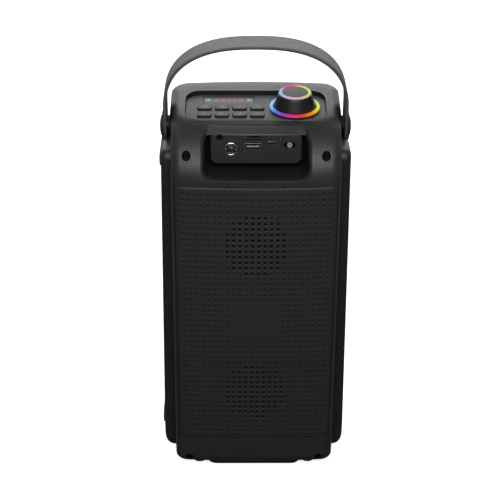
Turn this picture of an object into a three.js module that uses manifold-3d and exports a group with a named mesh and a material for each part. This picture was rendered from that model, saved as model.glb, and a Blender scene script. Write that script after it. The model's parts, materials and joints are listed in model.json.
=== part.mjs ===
// Portable party speaker with two drivers, in millimetres, +Z up.
// The grille faces -Y and the port and vent side faces +Y. The origin is under the
// middle of the cabinet, on the surface that the base feet stand on.
import * as THREE from 'three';
import { mergeVertices } from 'three/addons/utils/BufferGeometryUtils.js';
import Module from 'manifold-3d';

const wasm = await Module();
wasm.setup();

// ---------------------------------------------------------------- driving dimensions
const GAP = 0.3; // clearance between neighbouring pieces
const WALL = 3; // moulded shell wall

const REAR_Y = 61; // middle of the bowed rear face
const FRONT_Y = -60; // middle of the bowed front face
const SEAM_Y = -1; // where the two shells meet
const BODY_BOTTOM = 4.5;
const TOP_Z = 316.8; // rear end of the sloping top
const TOP_END_Y = 25.6; // where the sloping top runs into the shoulder
const TOP_SLOPE = Math.tan(THREE.MathUtils.degToRad(8));
const SHOULDER_R = 40;
const FRONT_TOP_R = 34.5;
const BOTTOM_R = 12;
const REAR_BOW_R = 700;
const FRONT_BOW_R = 480;
const REAR_HALF = 66; // rear shell's half width at the top
const FRONT_HALF = 68.6; // front shell's half width at the top
const SIDE_TAPER = 1.8 / 290; // each side widens this much per mm on the way down
const REAR_SIDE_R = 6; // rounding along the top's side edges
const FRONT_SIDE_R = 11;
const LOW_SIDE_R = 8; // rounding along the bottom's side edges
const REAR_CORNER_R = 8; // upright corners
const FRONT_CORNER_R = 11;
const TOP_INSIDE = -5; // the shells are thicker under their tops
const BOTTOM_STEPS = 3;
const SHOULDER_STEPS = 7;
const CORNER_STEPS = 3;
const FAR = 200; // beyond the object in every direction

const VENT_PITCH = 5;
const VENT_COLUMNS = 24;
const VENT_ROWS = 47;
const VENT_TOP_Z = 268; // highest row of the vent grid
const VENT_HOLE = 2.3;
const CLUSTER_COUNTS = [4, 8, 8, 10, 10, 10, 10, 10, 8, 8, 4]; // open holes, row by row
const CLUSTER_FIRST_ROWS = [4, 32];
const VENT_PANEL = { half: 64, bottom: 35.3, top: 274.4, wall: 2.6 };

const POCKET = { half: 40, floor: 280.7, back: 26, mouth: 35.2, lip: 311.5, wall: 2.5, corner: 8 };
const PORT_FACE_Y = 40.5;
const SWITCH_SEAT_Y = 32;
const PORT_HALF = 35.5;
const PORT_BOTTOM = 285.3;
const BROW = { half: 37.4, bottom: 309, proud: 0.5 };
const JACK_BACK_Y = 27;
const MIC = { x: 19.5, z: 298.1, outer: 5.4, hole: 3.25 };
const AUX = { x: 28.4, z: 308, outer: 2.5, hole: 1.75 };
const CARD = { x: 1.8, z: 306.1, width: 15.4, height: 2.2 };
const USB = { x: 2.6, z: 300.3, width: 13.4, height: 5.8 };
const MICRO = { x: -12.2, z: 303.1, width: 7.8, height: 3.2 };
const LED = { x: -18.9, z: 306, radius: 1 };
const SWITCH = { x: -26, z: 301.5, width: 8.8, height: 5.4, knob: 2.15 };

const PANEL = { width: 111, length: 44.8, corner: 12, thick: 2.4, y: 4.1, z: 318.1 };
const PANEL_TILT = THREE.MathUtils.degToRad(3.6);
const BUTTON = { width: 10.8, length: 7.6, raise: 1.75, corner: 1.6 };
const BUTTON_COLUMNS = [40.5, 26.65, 12.8, -1.05];
const BUTTON_ROWS = [14.6, 2.1];
const DISPLAY = { x: 21.4, y: -13.8, width: 40.8, length: 13.4 };
const KNOB = { x: -30.7, y: 3.6, base: 16.6, top: 13.1, height: 14 };
const RING = { outer: 20, inner: 17, height: 2.5 };
const BOARD_DROP = 9; // button board's top below the control panel's surface

const PIVOT_Z = 301;
const STRAP = { width: 27, inner: 70.6, outer: 73.2, spring: 318, top: 371.6, power: 2.5 };
const PIN_R = 3.8;
const CAP = { flange: 12, dome: 8.8, start: 73.6, rim: 74.6, tip: 76.6 };
const BOSS_R = 8;

const SIDE_PANEL = { rear: 40, front: -42, bottom: 9, top: 295.9, outer: 74.5, lean: 3.8 };
const NOTCH_R = 15.2;
const SIDE_PANEL_R = 9; // corners of the side panel's outline
const SIDE_PANEL_EDGE = 5; // rounding of its outer edge
const SIDE_FOOT = { rear: 22, front: -34, proud: 1.6 };
const SIDE_FEET = [['upper', 279, 11], ['lower', 28, 14]]; // name, middle height, width
const BASE_PLATE = { width: 81, length: 106, corner: 8, under: 1.7 };
const BASE_FOOT_R = 6.7;
const BASE_FEET = [
  ['rear_left', 47.5, 42], ['rear_right', -47.5, 42],
  ['front_left', 47.5, -40], ['front_right', -47.5, -40]];

const DRIVER_Z = [223, 83];
const DRIVER_SEGMENTS = 20;
const DRIVER = { flange: 52, hole: 46.5, surround: 46, cone: 39.4, magnet: 32 };
const BAFFLE = { front: -49, back: -43, half: 63, bottom: 11, top: 293 };
const GRILLE = { half: 61, bottom: 16, top: 300, corner: 14, thick: 1.2 };

const UPPER_SCREWS = [{ name: 'screw_left', x: 54, z: 297.4 }, { name: 'screw_right', x: -54, z: 297.4 }];
const SCREW_R = 1.5;
const PILOT_R = 1.8;
const LOWER_RECESSES = [{ x: 56, z: 13.2 }, { x: -56, z: 13.2 }];
const SCREWS = [...UPPER_SCREWS, ...LOWER_RECESSES];
const SCREW_SEAT_Y = 44;
const RECESS_R = 3.25;

// ---------------------------------------------------------------- finishes
const finish = (color, roughness, metalness = 0) =>
  new THREE.MeshStandardMaterial({ color, roughness, metalness });
const SHELL = finish(0x2b2b2c, 0.55);
const PANEL_FINISH = finish(0x3a3a3b, 0.5);
const SIDE_FINISH = finish(0x1e1e1f, 0.6);
const DARK = finish(0x101011, 0.7);
const RUBBER = finish(0x191919, 0.9);
const STEEL = finish(0xb9bbbd, 0.25, 1);
const GLOW = finish(0xe8f4ff, 0.35);
const GLOSS = finish(0x0b0b0c, 0.12);
const BOARD = finish(0x14532d, 0.6);
const PAPER = finish(0x222224, 0.85);
const BATTERY = finish(0x2456a4, 0.5);
const RED = finish(0xd0281e, 0.4);

// ---------------------------------------------------------------- solids
function toSolid(geometry) {
  const bare = new THREE.BufferGeometry();
  bare.setAttribute('position', geometry.getAttribute('position').clone());
  if (geometry.index) bare.setIndex(geometry.index.clone());
  const merged = mergeVertices(bare, 1e-4);
  return new wasm.Manifold(new wasm.Mesh({
    numProp: 3,
    vertProperties: new Float32Array(merged.getAttribute('position').array),
    triVerts: new Uint32Array(merged.index.array),
  }));
}

function toGeometry(solid) {
  const mesh = solid.getMesh();
  const geometry = new THREE.BufferGeometry();
  geometry.setAttribute('position', new THREE.BufferAttribute(mesh.vertProperties, 3));
  geometry.setIndex(new THREE.BufferAttribute(mesh.triVerts, 1));
  geometry.computeVertexNormals();
  return geometry;
}

const join = (first, ...rest) => rest.reduce((all, next) => all.add(next), first);
const cut = (first, ...rest) => rest.reduce((all, next) => all.subtract(next), first);

function box(low, high) {
  const size = high.map((value, i) => value - low[i]);
  const geometry = new THREE.BoxGeometry(...size);
  geometry.translate(...low.map((value, i) => value + size[i] / 2));
  return toSolid(geometry);
}

function roundedRect(width, height, radius, x = 0, y = 0) {
  const [w, h] = [width / 2, height / 2];
  const shape = new THREE.Shape();
  shape.moveTo(x + w, y - h + radius);
  shape.absarc(x + w - radius, y + h - radius, radius, 0, Math.PI / 2);
  shape.absarc(x - w + radius, y + h - radius, radius, Math.PI / 2, Math.PI);
  shape.absarc(x - w + radius, y - h + radius, radius, Math.PI, Math.PI * 1.5);
  shape.absarc(x + w - radius, y - h + radius, radius, Math.PI * 1.5, Math.PI * 2);
  return shape;
}

const UP = new THREE.Vector3(0, 0, 1);
const RIGHT = new THREE.Vector3(1, 0, 0);
const BACK = new THREE.Vector3(0, 1, 0);
const FRAMES = {
  x: new THREE.Matrix4().makeBasis(BACK, UP, RIGHT), // outline in Y and Z
  y: new THREE.Matrix4().makeBasis(RIGHT, UP, BACK.clone().negate()), // outline in X and Z
  z: new THREE.Matrix4(), // outline in X and Y
};

// A flat outline made into a bar along one axis, between two places on that axis.
function prism(shape, axis, from, to, segments = 5) {
  const geometry = new THREE.ExtrudeGeometry(shape, {
    depth: to - from,
    bevelEnabled: false,
    curveSegments: segments,
  });
  geometry.translate(0, 0, axis === 'y' ? -to : from);
  geometry.applyMatrix4(FRAMES[axis]);
  return toSolid(geometry);
}

// A turned piece: profile points are [radius, distance along the axis].
function turned(profile, axis, centre, segments = 24) {
  const geometry = new THREE.LatheGeometry(
    profile.map(([radius, along]) => new THREE.Vector2(radius, along)), segments);
  if (axis === 'z') geometry.rotateX(Math.PI / 2);
  if (axis === 'x') geometry.rotateZ(-Math.PI / 2);
  geometry.translate(...centre);
  const solid = toSolid(geometry);
  return solid.volume() < 0 ? toSolid(flip(geometry)) : solid;
}

function flip(geometry) {
  const turnedOver = geometry.clone();
  const index = turnedOver.index;
  for (let i = 0; i < index.count; i += 3) {
    const first = index.getX(i);
    index.setX(i, index.getX(i + 2));
    index.setX(i + 2, first);
  }
  return turnedOver;
}

function rod(axis, centre, radius, from, to, segments = 16) {
  return turned([[0, from], [radius, from], [radius, to], [0, to]], axis, centre, segments);
}

function tube(axis, centre, inner, outer, from, to, segments = 24) {
  return turned(
    [[inner, from], [outer, from], [outer, to], [inner, to], [inner, from]], axis, centre, segments);
}

// ---------------------------------------------------------------- cabinet form
const roundingInset = (radius, depth) =>
  depth >= radius ? 0 : radius - Math.sqrt(radius ** 2 - (radius - Math.max(depth, 0)) ** 2);

const bow = (x, y) => (y > 0
  ? -(x ** 2) / (2 * REAR_BOW_R) * Math.min(1, y / 30)
  : (x ** 2) / (2 * FRONT_BOW_R) * Math.min(1, -y / 30));

function levelHeights(bottom, top) {
  const heights = [];
  for (let i = 0; i <= BOTTOM_STEPS; i += 1) {
    heights.push(bottom + BOTTOM_R * (1 - Math.cos((i / BOTTOM_STEPS) * Math.PI / 2)));
  }
  for (let i = SHOULDER_STEPS; i >= 0; i -= 1) {
    heights.push(top - SHOULDER_R * (1 - Math.cos((i / SHOULDER_STEPS) * Math.PI / 2)));
  }
  return heights;
}

// The cabinet's outer form, stacked from level outlines. A negative grow makes its inside.
function cabinet(half, sideR, grow = 0, topGrow = grow) {
  const [bottom, top] = [BODY_BOTTOM - grow, TOP_Z + topGrow];
  const corners = [REAR_CORNER_R, FRONT_CORNER_R].map((radius) => Math.max(radius + grow, 2));
  const rings = levelHeights(bottom, top).map((z) => {
    const [above, below] = [z - bottom, top - z];
    const wide = half + grow + SIDE_TAPER * (TOP_Z - z)
      - roundingInset(sideR, below) - roundingInset(LOW_SIDE_R, above);
    const rear = REAR_Y + grow - roundingInset(SHOULDER_R, below) - roundingInset(BOTTOM_R, above);
    const front = FRONT_Y - grow + roundingInset(FRONT_TOP_R, below) + roundingInset(BOTTOM_R, above);
    const lift = TOP_SLOPE * THREE.MathUtils.smoothstep(z, TOP_Z - SHOULDER_R, TOP_Z);
    return ringPoints(wide, rear, front, corners)
      .map(([x, y]) => [x, y + bow(x, y), z + lift * (TOP_END_Y - y)]);
  });
  return stack(rings);
}

function ringPoints(wide, rear, front, [rearCorner, frontCorner]) {
  const points = [];
  const quarters = [[1, 1], [-1, 1], [-1, -1], [1, -1]];
  quarters.forEach(([sx, sy], quarter) => {
    const corner = sy > 0 ? rearCorner : frontCorner;
    const [cx, cy] = [sx * (wide - corner), sy > 0 ? rear - corner : front + corner];
    for (let i = 0; i <= CORNER_STEPS; i += 1) {
      const angle = (quarter + i / CORNER_STEPS) * Math.PI / 2;
      points.push([cx + corner * Math.cos(angle), cy + corner * Math.sin(angle)]);
    }
    if (sx === sy) { // the long rear and front sides follow a bow
      const y = sy > 0 ? rear : front;
      for (let i = 1; i < 4; i += 1) points.push([sx * (wide - corner) * (1 - i / 2), y]);
    }
  });
  return points;
}

function stack(rings) {
  const count = rings[0].length;
  const centre = (ring) => [0, 1, 2].map((k) => ring.reduce((sum, p) => sum + p[k], 0) / count);
  const points = [...rings.flat(), centre(rings[0]), centre(rings.at(-1))];
  const index = [];
  rings.slice(1).forEach((_, level) => {
    for (let i = 0; i < count; i += 1) {
      const [a, b] = [level * count + i, level * count + (i + 1) % count];
      index.push(a, b, b + count, a, b + count, a + count);
    }
  });
  const last = (rings.length - 1) * count;
  for (let i = 0; i < count; i += 1) {
    index.push(points.length - 2, (i + 1) % count, i);
    index.push(points.length - 1, last + i, last + (i + 1) % count);
  }
  const geometry = new THREE.BufferGeometry();
  geometry.setAttribute('position', new THREE.Float32BufferAttribute(points.flat(), 3));
  geometry.setIndex(index);
  return toSolid(geometry);
}

const rearForm = cabinet(REAR_HALF, REAR_SIDE_R);
const frontForm = cabinet(FRONT_HALF, FRONT_SIDE_R);
const rearInside = cabinet(REAR_HALF, REAR_SIDE_R, -WALL, TOP_INSIDE);
const frontInside = cabinet(FRONT_HALF, FRONT_SIDE_R, -WALL, TOP_INSIDE);
const behindSeam = box([-FAR, SEAM_Y + GAP / 2, -FAR], [FAR, FAR, 2 * FAR]);
const beforeSeam = box([-FAR, -FAR, -FAR], [FAR, SEAM_Y - GAP / 2, 2 * FAR]);
const panelWell = prism(
  roundedRect(PANEL.width + 2 * GAP, PANEL.length + 2 * GAP, PANEL.corner, 0, PANEL.y),
  'z', POCKET.lip, TOP_Z + 20);

// ---------------------------------------------------------------- shells and covers
function screwBoss({ x, z }) {
  return rod('y', [x, 0, z], 5.5, 14, 70, 12).intersect(rearForm);
}

function screwBore({ x, z }) {
  return join(
    rod('y', [x, 0, z], RECESS_R, SCREW_SEAT_Y, 80, 16),
    rod('y', [x, 0, z], PILOT_R, 0, SCREW_SEAT_Y + 1, 8));
}

function pocketWalls() {
  const { half, floor, back, wall } = POCKET;
  return box([-half - wall, back - wall, floor - wall], [half + wall, 70, 318]).intersect(rearForm);
}

function pocketSpace() {
  const { half, floor, back, mouth, lip, corner } = POCKET;
  const opening = roundedRect(2 * half, 80, corner, 0, floor + 40);
  const deep = prism(opening, 'y', back, 80).intersect(box([-half, back, floor], [half, 80, lip]));
  return join(deep, prism(opening, 'y', mouth, 80));
}

function rearShell() {
  const { half, bottom, top } = VENT_PANEL;
  const window = box([-half, 40, bottom], [half, 80, top]);
  const boss = (side) => rod('x', [0, 0, PIVOT_Z], BOSS_R + 0.4, side * 50, side * 80);
  return cut(
    join(cut(rearForm, rearInside), ...SCREWS.map(screwBoss), pocketWalls()).intersect(behindSeam),
    window, pocketSpace(), panelWell, boss(1), boss(-1), ...SCREWS.map(screwBore));
}

const ventX = (column) => (column - (VENT_COLUMNS - 1) / 2) * VENT_PITCH;
const ventZ = (row) => VENT_TOP_Z - row * VENT_PITCH;

function openVents() {
  const holes = [];
  CLUSTER_FIRST_ROWS.forEach((firstRow) => {
    CLUSTER_COUNTS.forEach((count, i) => {
      for (let k = 0; k < count; k += 1) {
        holes.push([ventX(VENT_COLUMNS / 2 - count / 2 + k), ventZ(firstRow + i)]);
      }
    });
  });
  return holes;
}

function rearVentPanel() {
  const { half, bottom, top, wall } = VENT_PANEL;
  const inside = cabinet(REAR_HALF, REAR_SIDE_R, -wall);
  const slab = cut(rearForm, inside).intersect(
    box([-half + GAP, 45, bottom + GAP], [half - GAP, 80, top - GAP]));
  const posts = [[-38, 120], [38, 120], [-38, 185], [38, 185]].map(([x, z]) =>
    rod('y', [x, 0, z], 3, 42, REAR_Y - 2.2, 8));
  const holes = openVents().map(([x, z]) =>
    box([x - VENT_HOLE / 2, 50, z - VENT_HOLE / 2], [x + VENT_HOLE / 2, 70, z + VENT_HOLE / 2]));
  return cut(join(slab, ...posts), wasm.Manifold.union(holes));
}

function frontShell() {
  const { half, bottom, top, corner } = GRILLE;
  const mouth = prism(
    roundedRect(2 * half + 2 * GAP, top - bottom + 2 * GAP, corner, 0, (top + bottom) / 2),
    'y', -80, BAFFLE.front - 2, 4);
  const posts = SCREWS.flatMap(({ x, z }) => [
    rod('y', [x, 0, z], 4.5, -25, 20, 10).intersect(frontForm),
    box([Math.min(x, x * 1.4), -25, z - 1], [Math.max(x, x * 1.4), 20, z + 1]).intersect(frontForm)]);
  const shell = join(cut(frontForm, frontInside), ...posts).intersect(beforeSeam);
  const bosses = [1, -1].map((side) =>
    rod('x', [0, 0, PIVOT_Z], BOSS_R, side * 58, side * (STRAP.inner - 0.4)));
  const bores = [1, -1].map((side) =>
    rod('x', [0, 0, PIVOT_Z], PIN_R + GAP, side * 57, side * 80));
  const pilots = SCREWS.map(({ x, z }) => rod('y', [x, 0, z], PILOT_R, -15, 5, 8));
  return cut(join(shell, ...bosses), mouth, panelWell, ...bores, ...pilots);
}

function sidePanel(side) {
  const { rear, front, bottom, top, outer, lean } = SIDE_PANEL;
  const shape = roundedRect(
    rear - front, top - bottom, SIDE_PANEL_R, (rear + front) / 2, (top + bottom) / 2);
  const edge = SIDE_PANEL_EDGE;
  const depth = outer - 55 - edge;
  const geometry = new THREE.ExtrudeGeometry(shape, {
    depth, bevelThickness: edge, bevelSize: edge, bevelOffset: -edge, bevelSegments: 3, curveSegments: 4,
  });
  geometry.translate(0, 0, outer - edge - depth);
  geometry.applyMatrix4(FRAMES.x);
  const position = geometry.getAttribute('position');
  for (let i = 0; i < position.count; i += 1) {
    const drop = (top - position.getZ(i)) / (top - bottom);
    position.setX(i, position.getX(i) + lean * drop);
  }
  const notch = rod('x', [0, 0, PIVOT_Z], NOTCH_R, 50, 90, 24);
  const panel = cut(toSolid(geometry), cabinet(REAR_HALF, REAR_SIDE_R, GAP).intersect(
    box([-FAR, SEAM_Y - 1, -FAR], [FAR, FAR, 2 * FAR])),
  cabinet(FRONT_HALF, FRONT_SIDE_R, GAP).intersect(
    box([-FAR, -FAR, -FAR], [FAR, SEAM_Y + GAP, 2 * FAR])), notch);
  return side > 0 ? panel : panel.mirror([1, 0, 0]);
}

function basePlate() {
  const { width, length, corner, under } = BASE_PLATE;
  return prism(roundedRect(width, length, corner), 'z', under, BODY_BOTTOM - GAP);
}

function baseFoot(x, y) {
  const [radius, top] = [BASE_FOOT_R, BODY_BOTTOM - GAP];
  return turned([[0, 0], [radius - 0.8, 0], [radius, 1], [radius, top], [0, top]], 'z', [x, y, 0], 16);
}

function sideFoot(z, height) {
  const { rear, front, proud } = SIDE_FOOT;
  const drop = (SIDE_PANEL.top - z - height / 2) / (SIDE_PANEL.top - SIDE_PANEL.bottom);
  const base = SIDE_PANEL.outer + SIDE_PANEL.lean * (drop + height / 290) + GAP;
  return prism(roundedRect(rear - front, height, height / 2 - 0.1, (rear + front) / 2, z),
    'x', base, base + proud);
}

// ---------------------------------------------------------------- front, drivers and lights
function bowedPlate(shape, y, thick) {
  const outline = prism(shape, 'y', -90, -30);
  const skin = cut(
    cabinet(FRONT_HALF, FRONT_SIDE_R, -(y - FRONT_Y)),
    cabinet(FRONT_HALF, FRONT_SIDE_R, -(y - FRONT_Y) - thick));
  return outline.intersect(skin).intersect(box([-FAR, -80, -FAR], [FAR, -48, 2 * FAR]));
}

function frontGrille() {
  const { half, bottom, top, corner, thick } = GRILLE;
  const shape = roundedRect(2 * half, top - bottom, corner, 0, (top + bottom) / 2);
  return bowedPlate(shape, FRONT_Y + 0.4, thick);
}

function frontBaffle() {
  const { front, back, half, bottom, top } = BAFFLE;
  const plate = prism(roundedRect(2 * half, top - bottom, 10, 0, (top + bottom) / 2), 'y', front, back);
  const holes = DRIVER_Z.map((z) => rod('y', [0, 0, z], DRIVER.hole, front - 5, back + 5, 24));
  const reliefs = SCREWS.map(({ x, z }) => rod('y', [x, 0, z], 5, -70, 0, 8));
  return cut(plate, ...holes, ...reliefs);
}

function driverBasket(z) {
  const rim = BAFFLE.front - GAP;
  return turned([
    [DRIVER.surround + GAP, rim - 2], [DRIVER.flange, rim - 2], [DRIVER.flange, rim],
    [DRIVER.surround, rim], [DRIVER.surround, BAFFLE.back], [24, -24], [24, -20], [13, -20], [13, -22],
    [22, -22], [22, -25], [DRIVER.surround - 2, BAFFLE.back - 1], [DRIVER.surround - 2, rim - 0.5],
    [DRIVER.surround + GAP, rim - 0.5], [DRIVER.surround + GAP, rim - 2],
  ], 'y', [0, 0, z], DRIVER_SEGMENTS);
}

function driverMagnet(z) {
  return tube('y', [0, 0, z], 5, DRIVER.magnet, -19.7, -3, 16);
}

function driverSurround(z) {
  const base = BAFFLE.front - 2.5;
  const [inner, outer] = [DRIVER.cone + 0.4, DRIVER.surround];
  const mid = (inner + outer) / 2;
  return turned([
    [inner, base], [mid, base - 2], [outer, base], [outer, base + 0.8], [mid, base - 1.2],
    [inner, base + 0.8], [inner, base],
  ], 'y', [0, 0, z], DRIVER_SEGMENTS);
}

function driverCone(z) {
  const edge = BAFFLE.front - 2.5;
  return turned([
    [0, edge + 9], [7, edge + 10], [13, edge + 13.5], [DRIVER.cone, edge], [DRIVER.cone, edge + 1],
    [13, edge + 15], [12, edge + 15], [12, edge + 23], [11.2, edge + 23], [11.2, edge + 14.5],
    [6, edge + 11], [0, edge + 10],
  ], 'y', [0, 0, z], DRIVER_SEGMENTS);
}

function lightRing(z) {
  const [inner, outer] = [DRIVER.flange + 0.6, DRIVER.flange + 4.4];
  return tube('y', [0, 0, z], inner, outer, BAFFLE.front - 4, BAFFLE.front - GAP, 24);
}

// ---------------------------------------------------------------- controls
function controlPanel() {
  const outline = roundedRect(PANEL.width, PANEL.length, PANEL.corner);
  const buttonHoles = BUTTON_COLUMNS.flatMap((x) => BUTTON_ROWS.map((y) => prism(roundedRect(
    BUTTON.width + 2 * GAP, BUTTON.length + 2 * GAP, BUTTON.corner, x, y), 'z', -10, 10, 1)));
  const { x, y, width, length } = DISPLAY;
  return cut(prism(outline, 'z', -PANEL.thick, 0, 6), ...buttonHoles,
    box([x - width / 2, y - length / 2, -10], [x + width / 2, y + length / 2, 10]),
    rod('z', [KNOB.x, KNOB.y, 0], 3.6, -10, 10, 12));
}

function displayWindow() {
  const { x, y, width, length } = DISPLAY;
  return prism(roundedRect(width - 2 * GAP, length - 2 * GAP, 0.5, x, y), 'z', -1.5, -0.25, 1);
}

function displayModule() {
  const { x, y, width, length } = DISPLAY;
  return box([x - width / 2 + 1.5, y - length / 2 + 1.5, -BOARD_DROP + GAP],
    [x + width / 2 - 1.5, y + length / 2 - 1.5, -1.8]);
}

// The key top, the skirt that keeps it under the panel, and the stem over its switch.
function button(x, y) {
  const { width, length, raise, corner } = BUTTON;
  return join(prism(roundedRect(width, length, corner, x, y), 'z', -4, raise, 2),
    box([x - 6.2, y - 4.6, -4], [x + 6.2, y + 4.6, -3]),
    box([x - 1.5, y - 1.5, -BOARD_DROP + 1], [x + 1.5, y + 1.5, -3.5]));
}

function buttonBoard() {
  return box([-50, -20, -BOARD_DROP - 1.6], [50, 15.8, -BOARD_DROP]);
}

function knobBody() {
  const { x, y, base, top, height } = KNOB;
  return turned([[0, 11], [3.3, 11], [3.3, 0.6], [base, 0.6], [base, 2.8], [top, height], [0, height]],
    'z', [x, y, 0], 24);
}

function knobCap() {
  const base = KNOB.height + GAP;
  return turned([[0, base], [9.6, base], [9.6, base + 1], [9, base + 1.4], [0, base + 1.6]],
    'z', [KNOB.x, KNOB.y, 0], 24);
}

function knobTopRing() {
  const base = KNOB.height + GAP;
  return turned([[9.9, base], [13, base], [12.9, base + 0.8], [12, base + 1.5], [10.8, base + 1.5],
    [9.9, base + 1], [9.9, base]], 'z', [KNOB.x, KNOB.y, 0], 24);
}

function knobBaseRing() {
  const { outer, inner, height } = RING;
  return turned([[inner, GAP], [outer, GAP], [outer, 1], [outer - 0.8, height - 0.6],
    [inner + 0.6, height], [inner, height], [inner, GAP]], 'z', [KNOB.x, KNOB.y, 0], 24);
}

function encoderBody() {
  const { x, y } = KNOB;
  return box([x - 6, y - 6, -BOARD_DROP + GAP], [x + 6, y + 6, -PANEL.thick - GAP]);
}

function encoderShaft() {
  return rod('z', [KNOB.x, KNOB.y, 0], 3, -PANEL.thick, 10.7, 12);
}

// ---------------------------------------------------------------- ports
function portHousing() {
  const { back, mouth, lip } = POCKET;
  const face = prism(roundedRect(2 * PORT_HALF, 60, 5.5, 0, PORT_BOTTOM + 30),
    'y', back + GAP, PORT_FACE_Y, 4);
  const block = face.intersect(box([-FAR, 0, 0], [FAR, FAR, lip - GAP]));
  const upper = face.intersect(rearForm).intersect(box([-FAR, mouth + GAP, 0], [FAR, FAR, 2 * FAR]));
  const brow = box([-BROW.half, mouth + GAP, BROW.bottom], [BROW.half, PORT_FACE_Y + 0.9, 330])
    .intersect(cabinet(REAR_HALF, REAR_SIDE_R, BROW.proud));
  const out = 60;
  return cut(join(block, upper, brow),
    rod('y', [MIC.x, 0, MIC.z], MIC.outer + GAP, 0, out, 16),
    rod('y', [AUX.x, 0, AUX.z], AUX.outer + GAP, 0, PORT_FACE_Y + 0.01, 12),
    ...[CARD, USB, MICRO].map(({ x, z, width, height }) =>
      box([x - width / 2 - GAP, 0, z - height / 2 - GAP], [x + width / 2 + GAP, out, z + height / 2 + GAP])),
    rod('y', [LED.x, 0, LED.z], LED.radius + GAP, 0, out, 8),
    box([SWITCH.x - 6.8, 0, SWITCH.z - 4.5], [SWITCH.x + 6.8, SWITCH_SEAT_Y, SWITCH.z + 4.5]),
    prism(roundedRect(SWITCH.width, SWITCH.height, 2.6, SWITCH.x, SWITCH.z), 'y', 0, out, 3));
}

function micJack() {
  const { x, z, outer, hole } = MIC;
  return turned([[0, JACK_BACK_Y], [outer, JACK_BACK_Y], [outer, 40.9],
    [hole, 40.9], [hole, 29], [0, 29]], 'y', [x, 0, z], 16);
}

function auxJack() {
  const { x, z, outer, hole } = AUX;
  return turned([[0, JACK_BACK_Y + 4], [outer, JACK_BACK_Y + 4], [outer, PORT_FACE_Y - 0.2],
    [hole, PORT_FACE_Y - 0.2], [hole, 32], [0, 32]], 'y', [x, 0, z], 12);
}

// A metal socket with a tongue that stands out from its back wall.
function socket({ x, z, width, height }, rim, tongue, proud) {
  const [w, h] = [width / 2, height / 2];
  const front = PORT_FACE_Y + proud;
  return join(
    cut(box([x - w, JACK_BACK_Y, z - h], [x + w, front, z + h]),
      box([x - w + rim, JACK_BACK_Y + 1.5, z - h + rim], [x + w - rim, front + 1, z + h - rim])),
    box([x - w + rim + 0.6, JACK_BACK_Y + 1, z - tongue / 2],
      [x + w - rim - 0.6, front - 0.8, z + tongue / 2]));
}

function cardSlot() {
  const { x, z, width, height } = CARD;
  return cut(
    box([x - width / 2, JACK_BACK_Y, z - height / 2], [x + width / 2, PORT_FACE_Y - 0.2, z + height / 2]),
    box([x - 5.8, JACK_BACK_Y + 1, z - 0.6], [x + 5.8, PORT_FACE_Y + 1, z + 0.6]));
}

function switchBody() {
  const { x, z } = SWITCH;
  return box([x - 6.5, JACK_BACK_Y, z - 4.2], [x + 6.5, SWITCH_SEAT_Y - GAP, z + 4.2]);
}

function switchSlider() {
  const { x, z, knob } = SWITCH;
  return turned([[0, SWITCH_SEAT_Y], [knob, SWITCH_SEAT_Y], [knob, 40.8], [knob - 0.5, 41.3], [0, 41.3]],
    'y', [x, 0, z], 16);
}

// ---------------------------------------------------------------- handle
function archPoints(halfWidth, rise, steps = 24) {
  const points = [];
  for (let i = 0; i <= steps; i += 1) {
    const angle = (i / steps) * Math.PI;
    const [c, s] = [Math.cos(angle), Math.sin(angle)];
    points.push(new THREE.Vector2(
      Math.sign(c) * halfWidth * Math.abs(c) ** (2 / STRAP.power),
      STRAP.spring + rise * Math.abs(s) ** (2 / STRAP.power)));
  }
  return points;
}

function handleStrap() {
  const { width, inner, outer, spring, top } = STRAP;
  const foot = PIVOT_Z - width / 2 - 1;
  const rise = top - spring;
  const outline = new THREE.Shape([
    new THREE.Vector2(outer, foot), ...archPoints(outer, rise), new THREE.Vector2(-outer, foot),
    new THREE.Vector2(-inner, foot), ...archPoints(inner, rise - (outer - inner)).reverse(),
    new THREE.Vector2(inner, foot)]);
  const side = new THREE.Shape();
  side.moveTo(width / 2, top + 5);
  side.lineTo(-width / 2, top + 5);
  side.absarc(0, PIVOT_Z, width / 2, Math.PI, 2 * Math.PI);
  return cut(
    prism(outline, 'y', -width / 2, width / 2).intersect(prism(side, 'x', -90, 90, 10)),
    rod('x', [0, 0, PIVOT_Z], PIN_R + GAP, -90, 90));
}

function pivotPin(side) {
  return rod('x', [0, 0, PIVOT_Z], PIN_R, side * 59, side * (CAP.start - GAP));
}

function strapCap(side) {
  const { flange, dome, start, rim, tip } = CAP;
  const profile = [[0, start], [flange, start], [flange - 0.4, rim], [dome, rim]];
  for (let i = 1; i <= 4; i += 1) {
    const angle = (i / 4) * Math.PI / 2;
    profile.push([dome * Math.cos(angle), rim + (tip - rim) * Math.sin(angle)]);
  }
  return turned(profile.map(([radius, along]) => [Math.max(radius, 0), side * along]),
    'x', [0, 0, PIVOT_Z], 16);
}

// ---------------------------------------------------------------- insides
const mainBoard = () => box([-46, 40.1, 114], [46, 41.7, 191]);
const batteryPack = () => prism(roundedRect(76, 38, 8, 0, 29), 'y', 4, 24, 3);

function screw({ x, z }) {
  const seat = SCREW_SEAT_Y + GAP;
  return turned([[0, -12], [SCREW_R, -12], [SCREW_R, seat], [2.9, seat], [2.7, seat + 1.6], [0, seat + 2]],
    'y', [x, 0, z], 10);
}

// ---------------------------------------------------------------- assembly
const speaker = new THREE.Group();
const controls = new THREE.Group();
controls.position.set(0, PANEL.y, PANEL.z);
controls.rotation.x = -PANEL_TILT;
speaker.add(controls);

function add(group, name, solid, material) {
  const mesh = new THREE.Mesh(toGeometry(solid), material);
  mesh.name = name;
  group.add(mesh);
}

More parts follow.
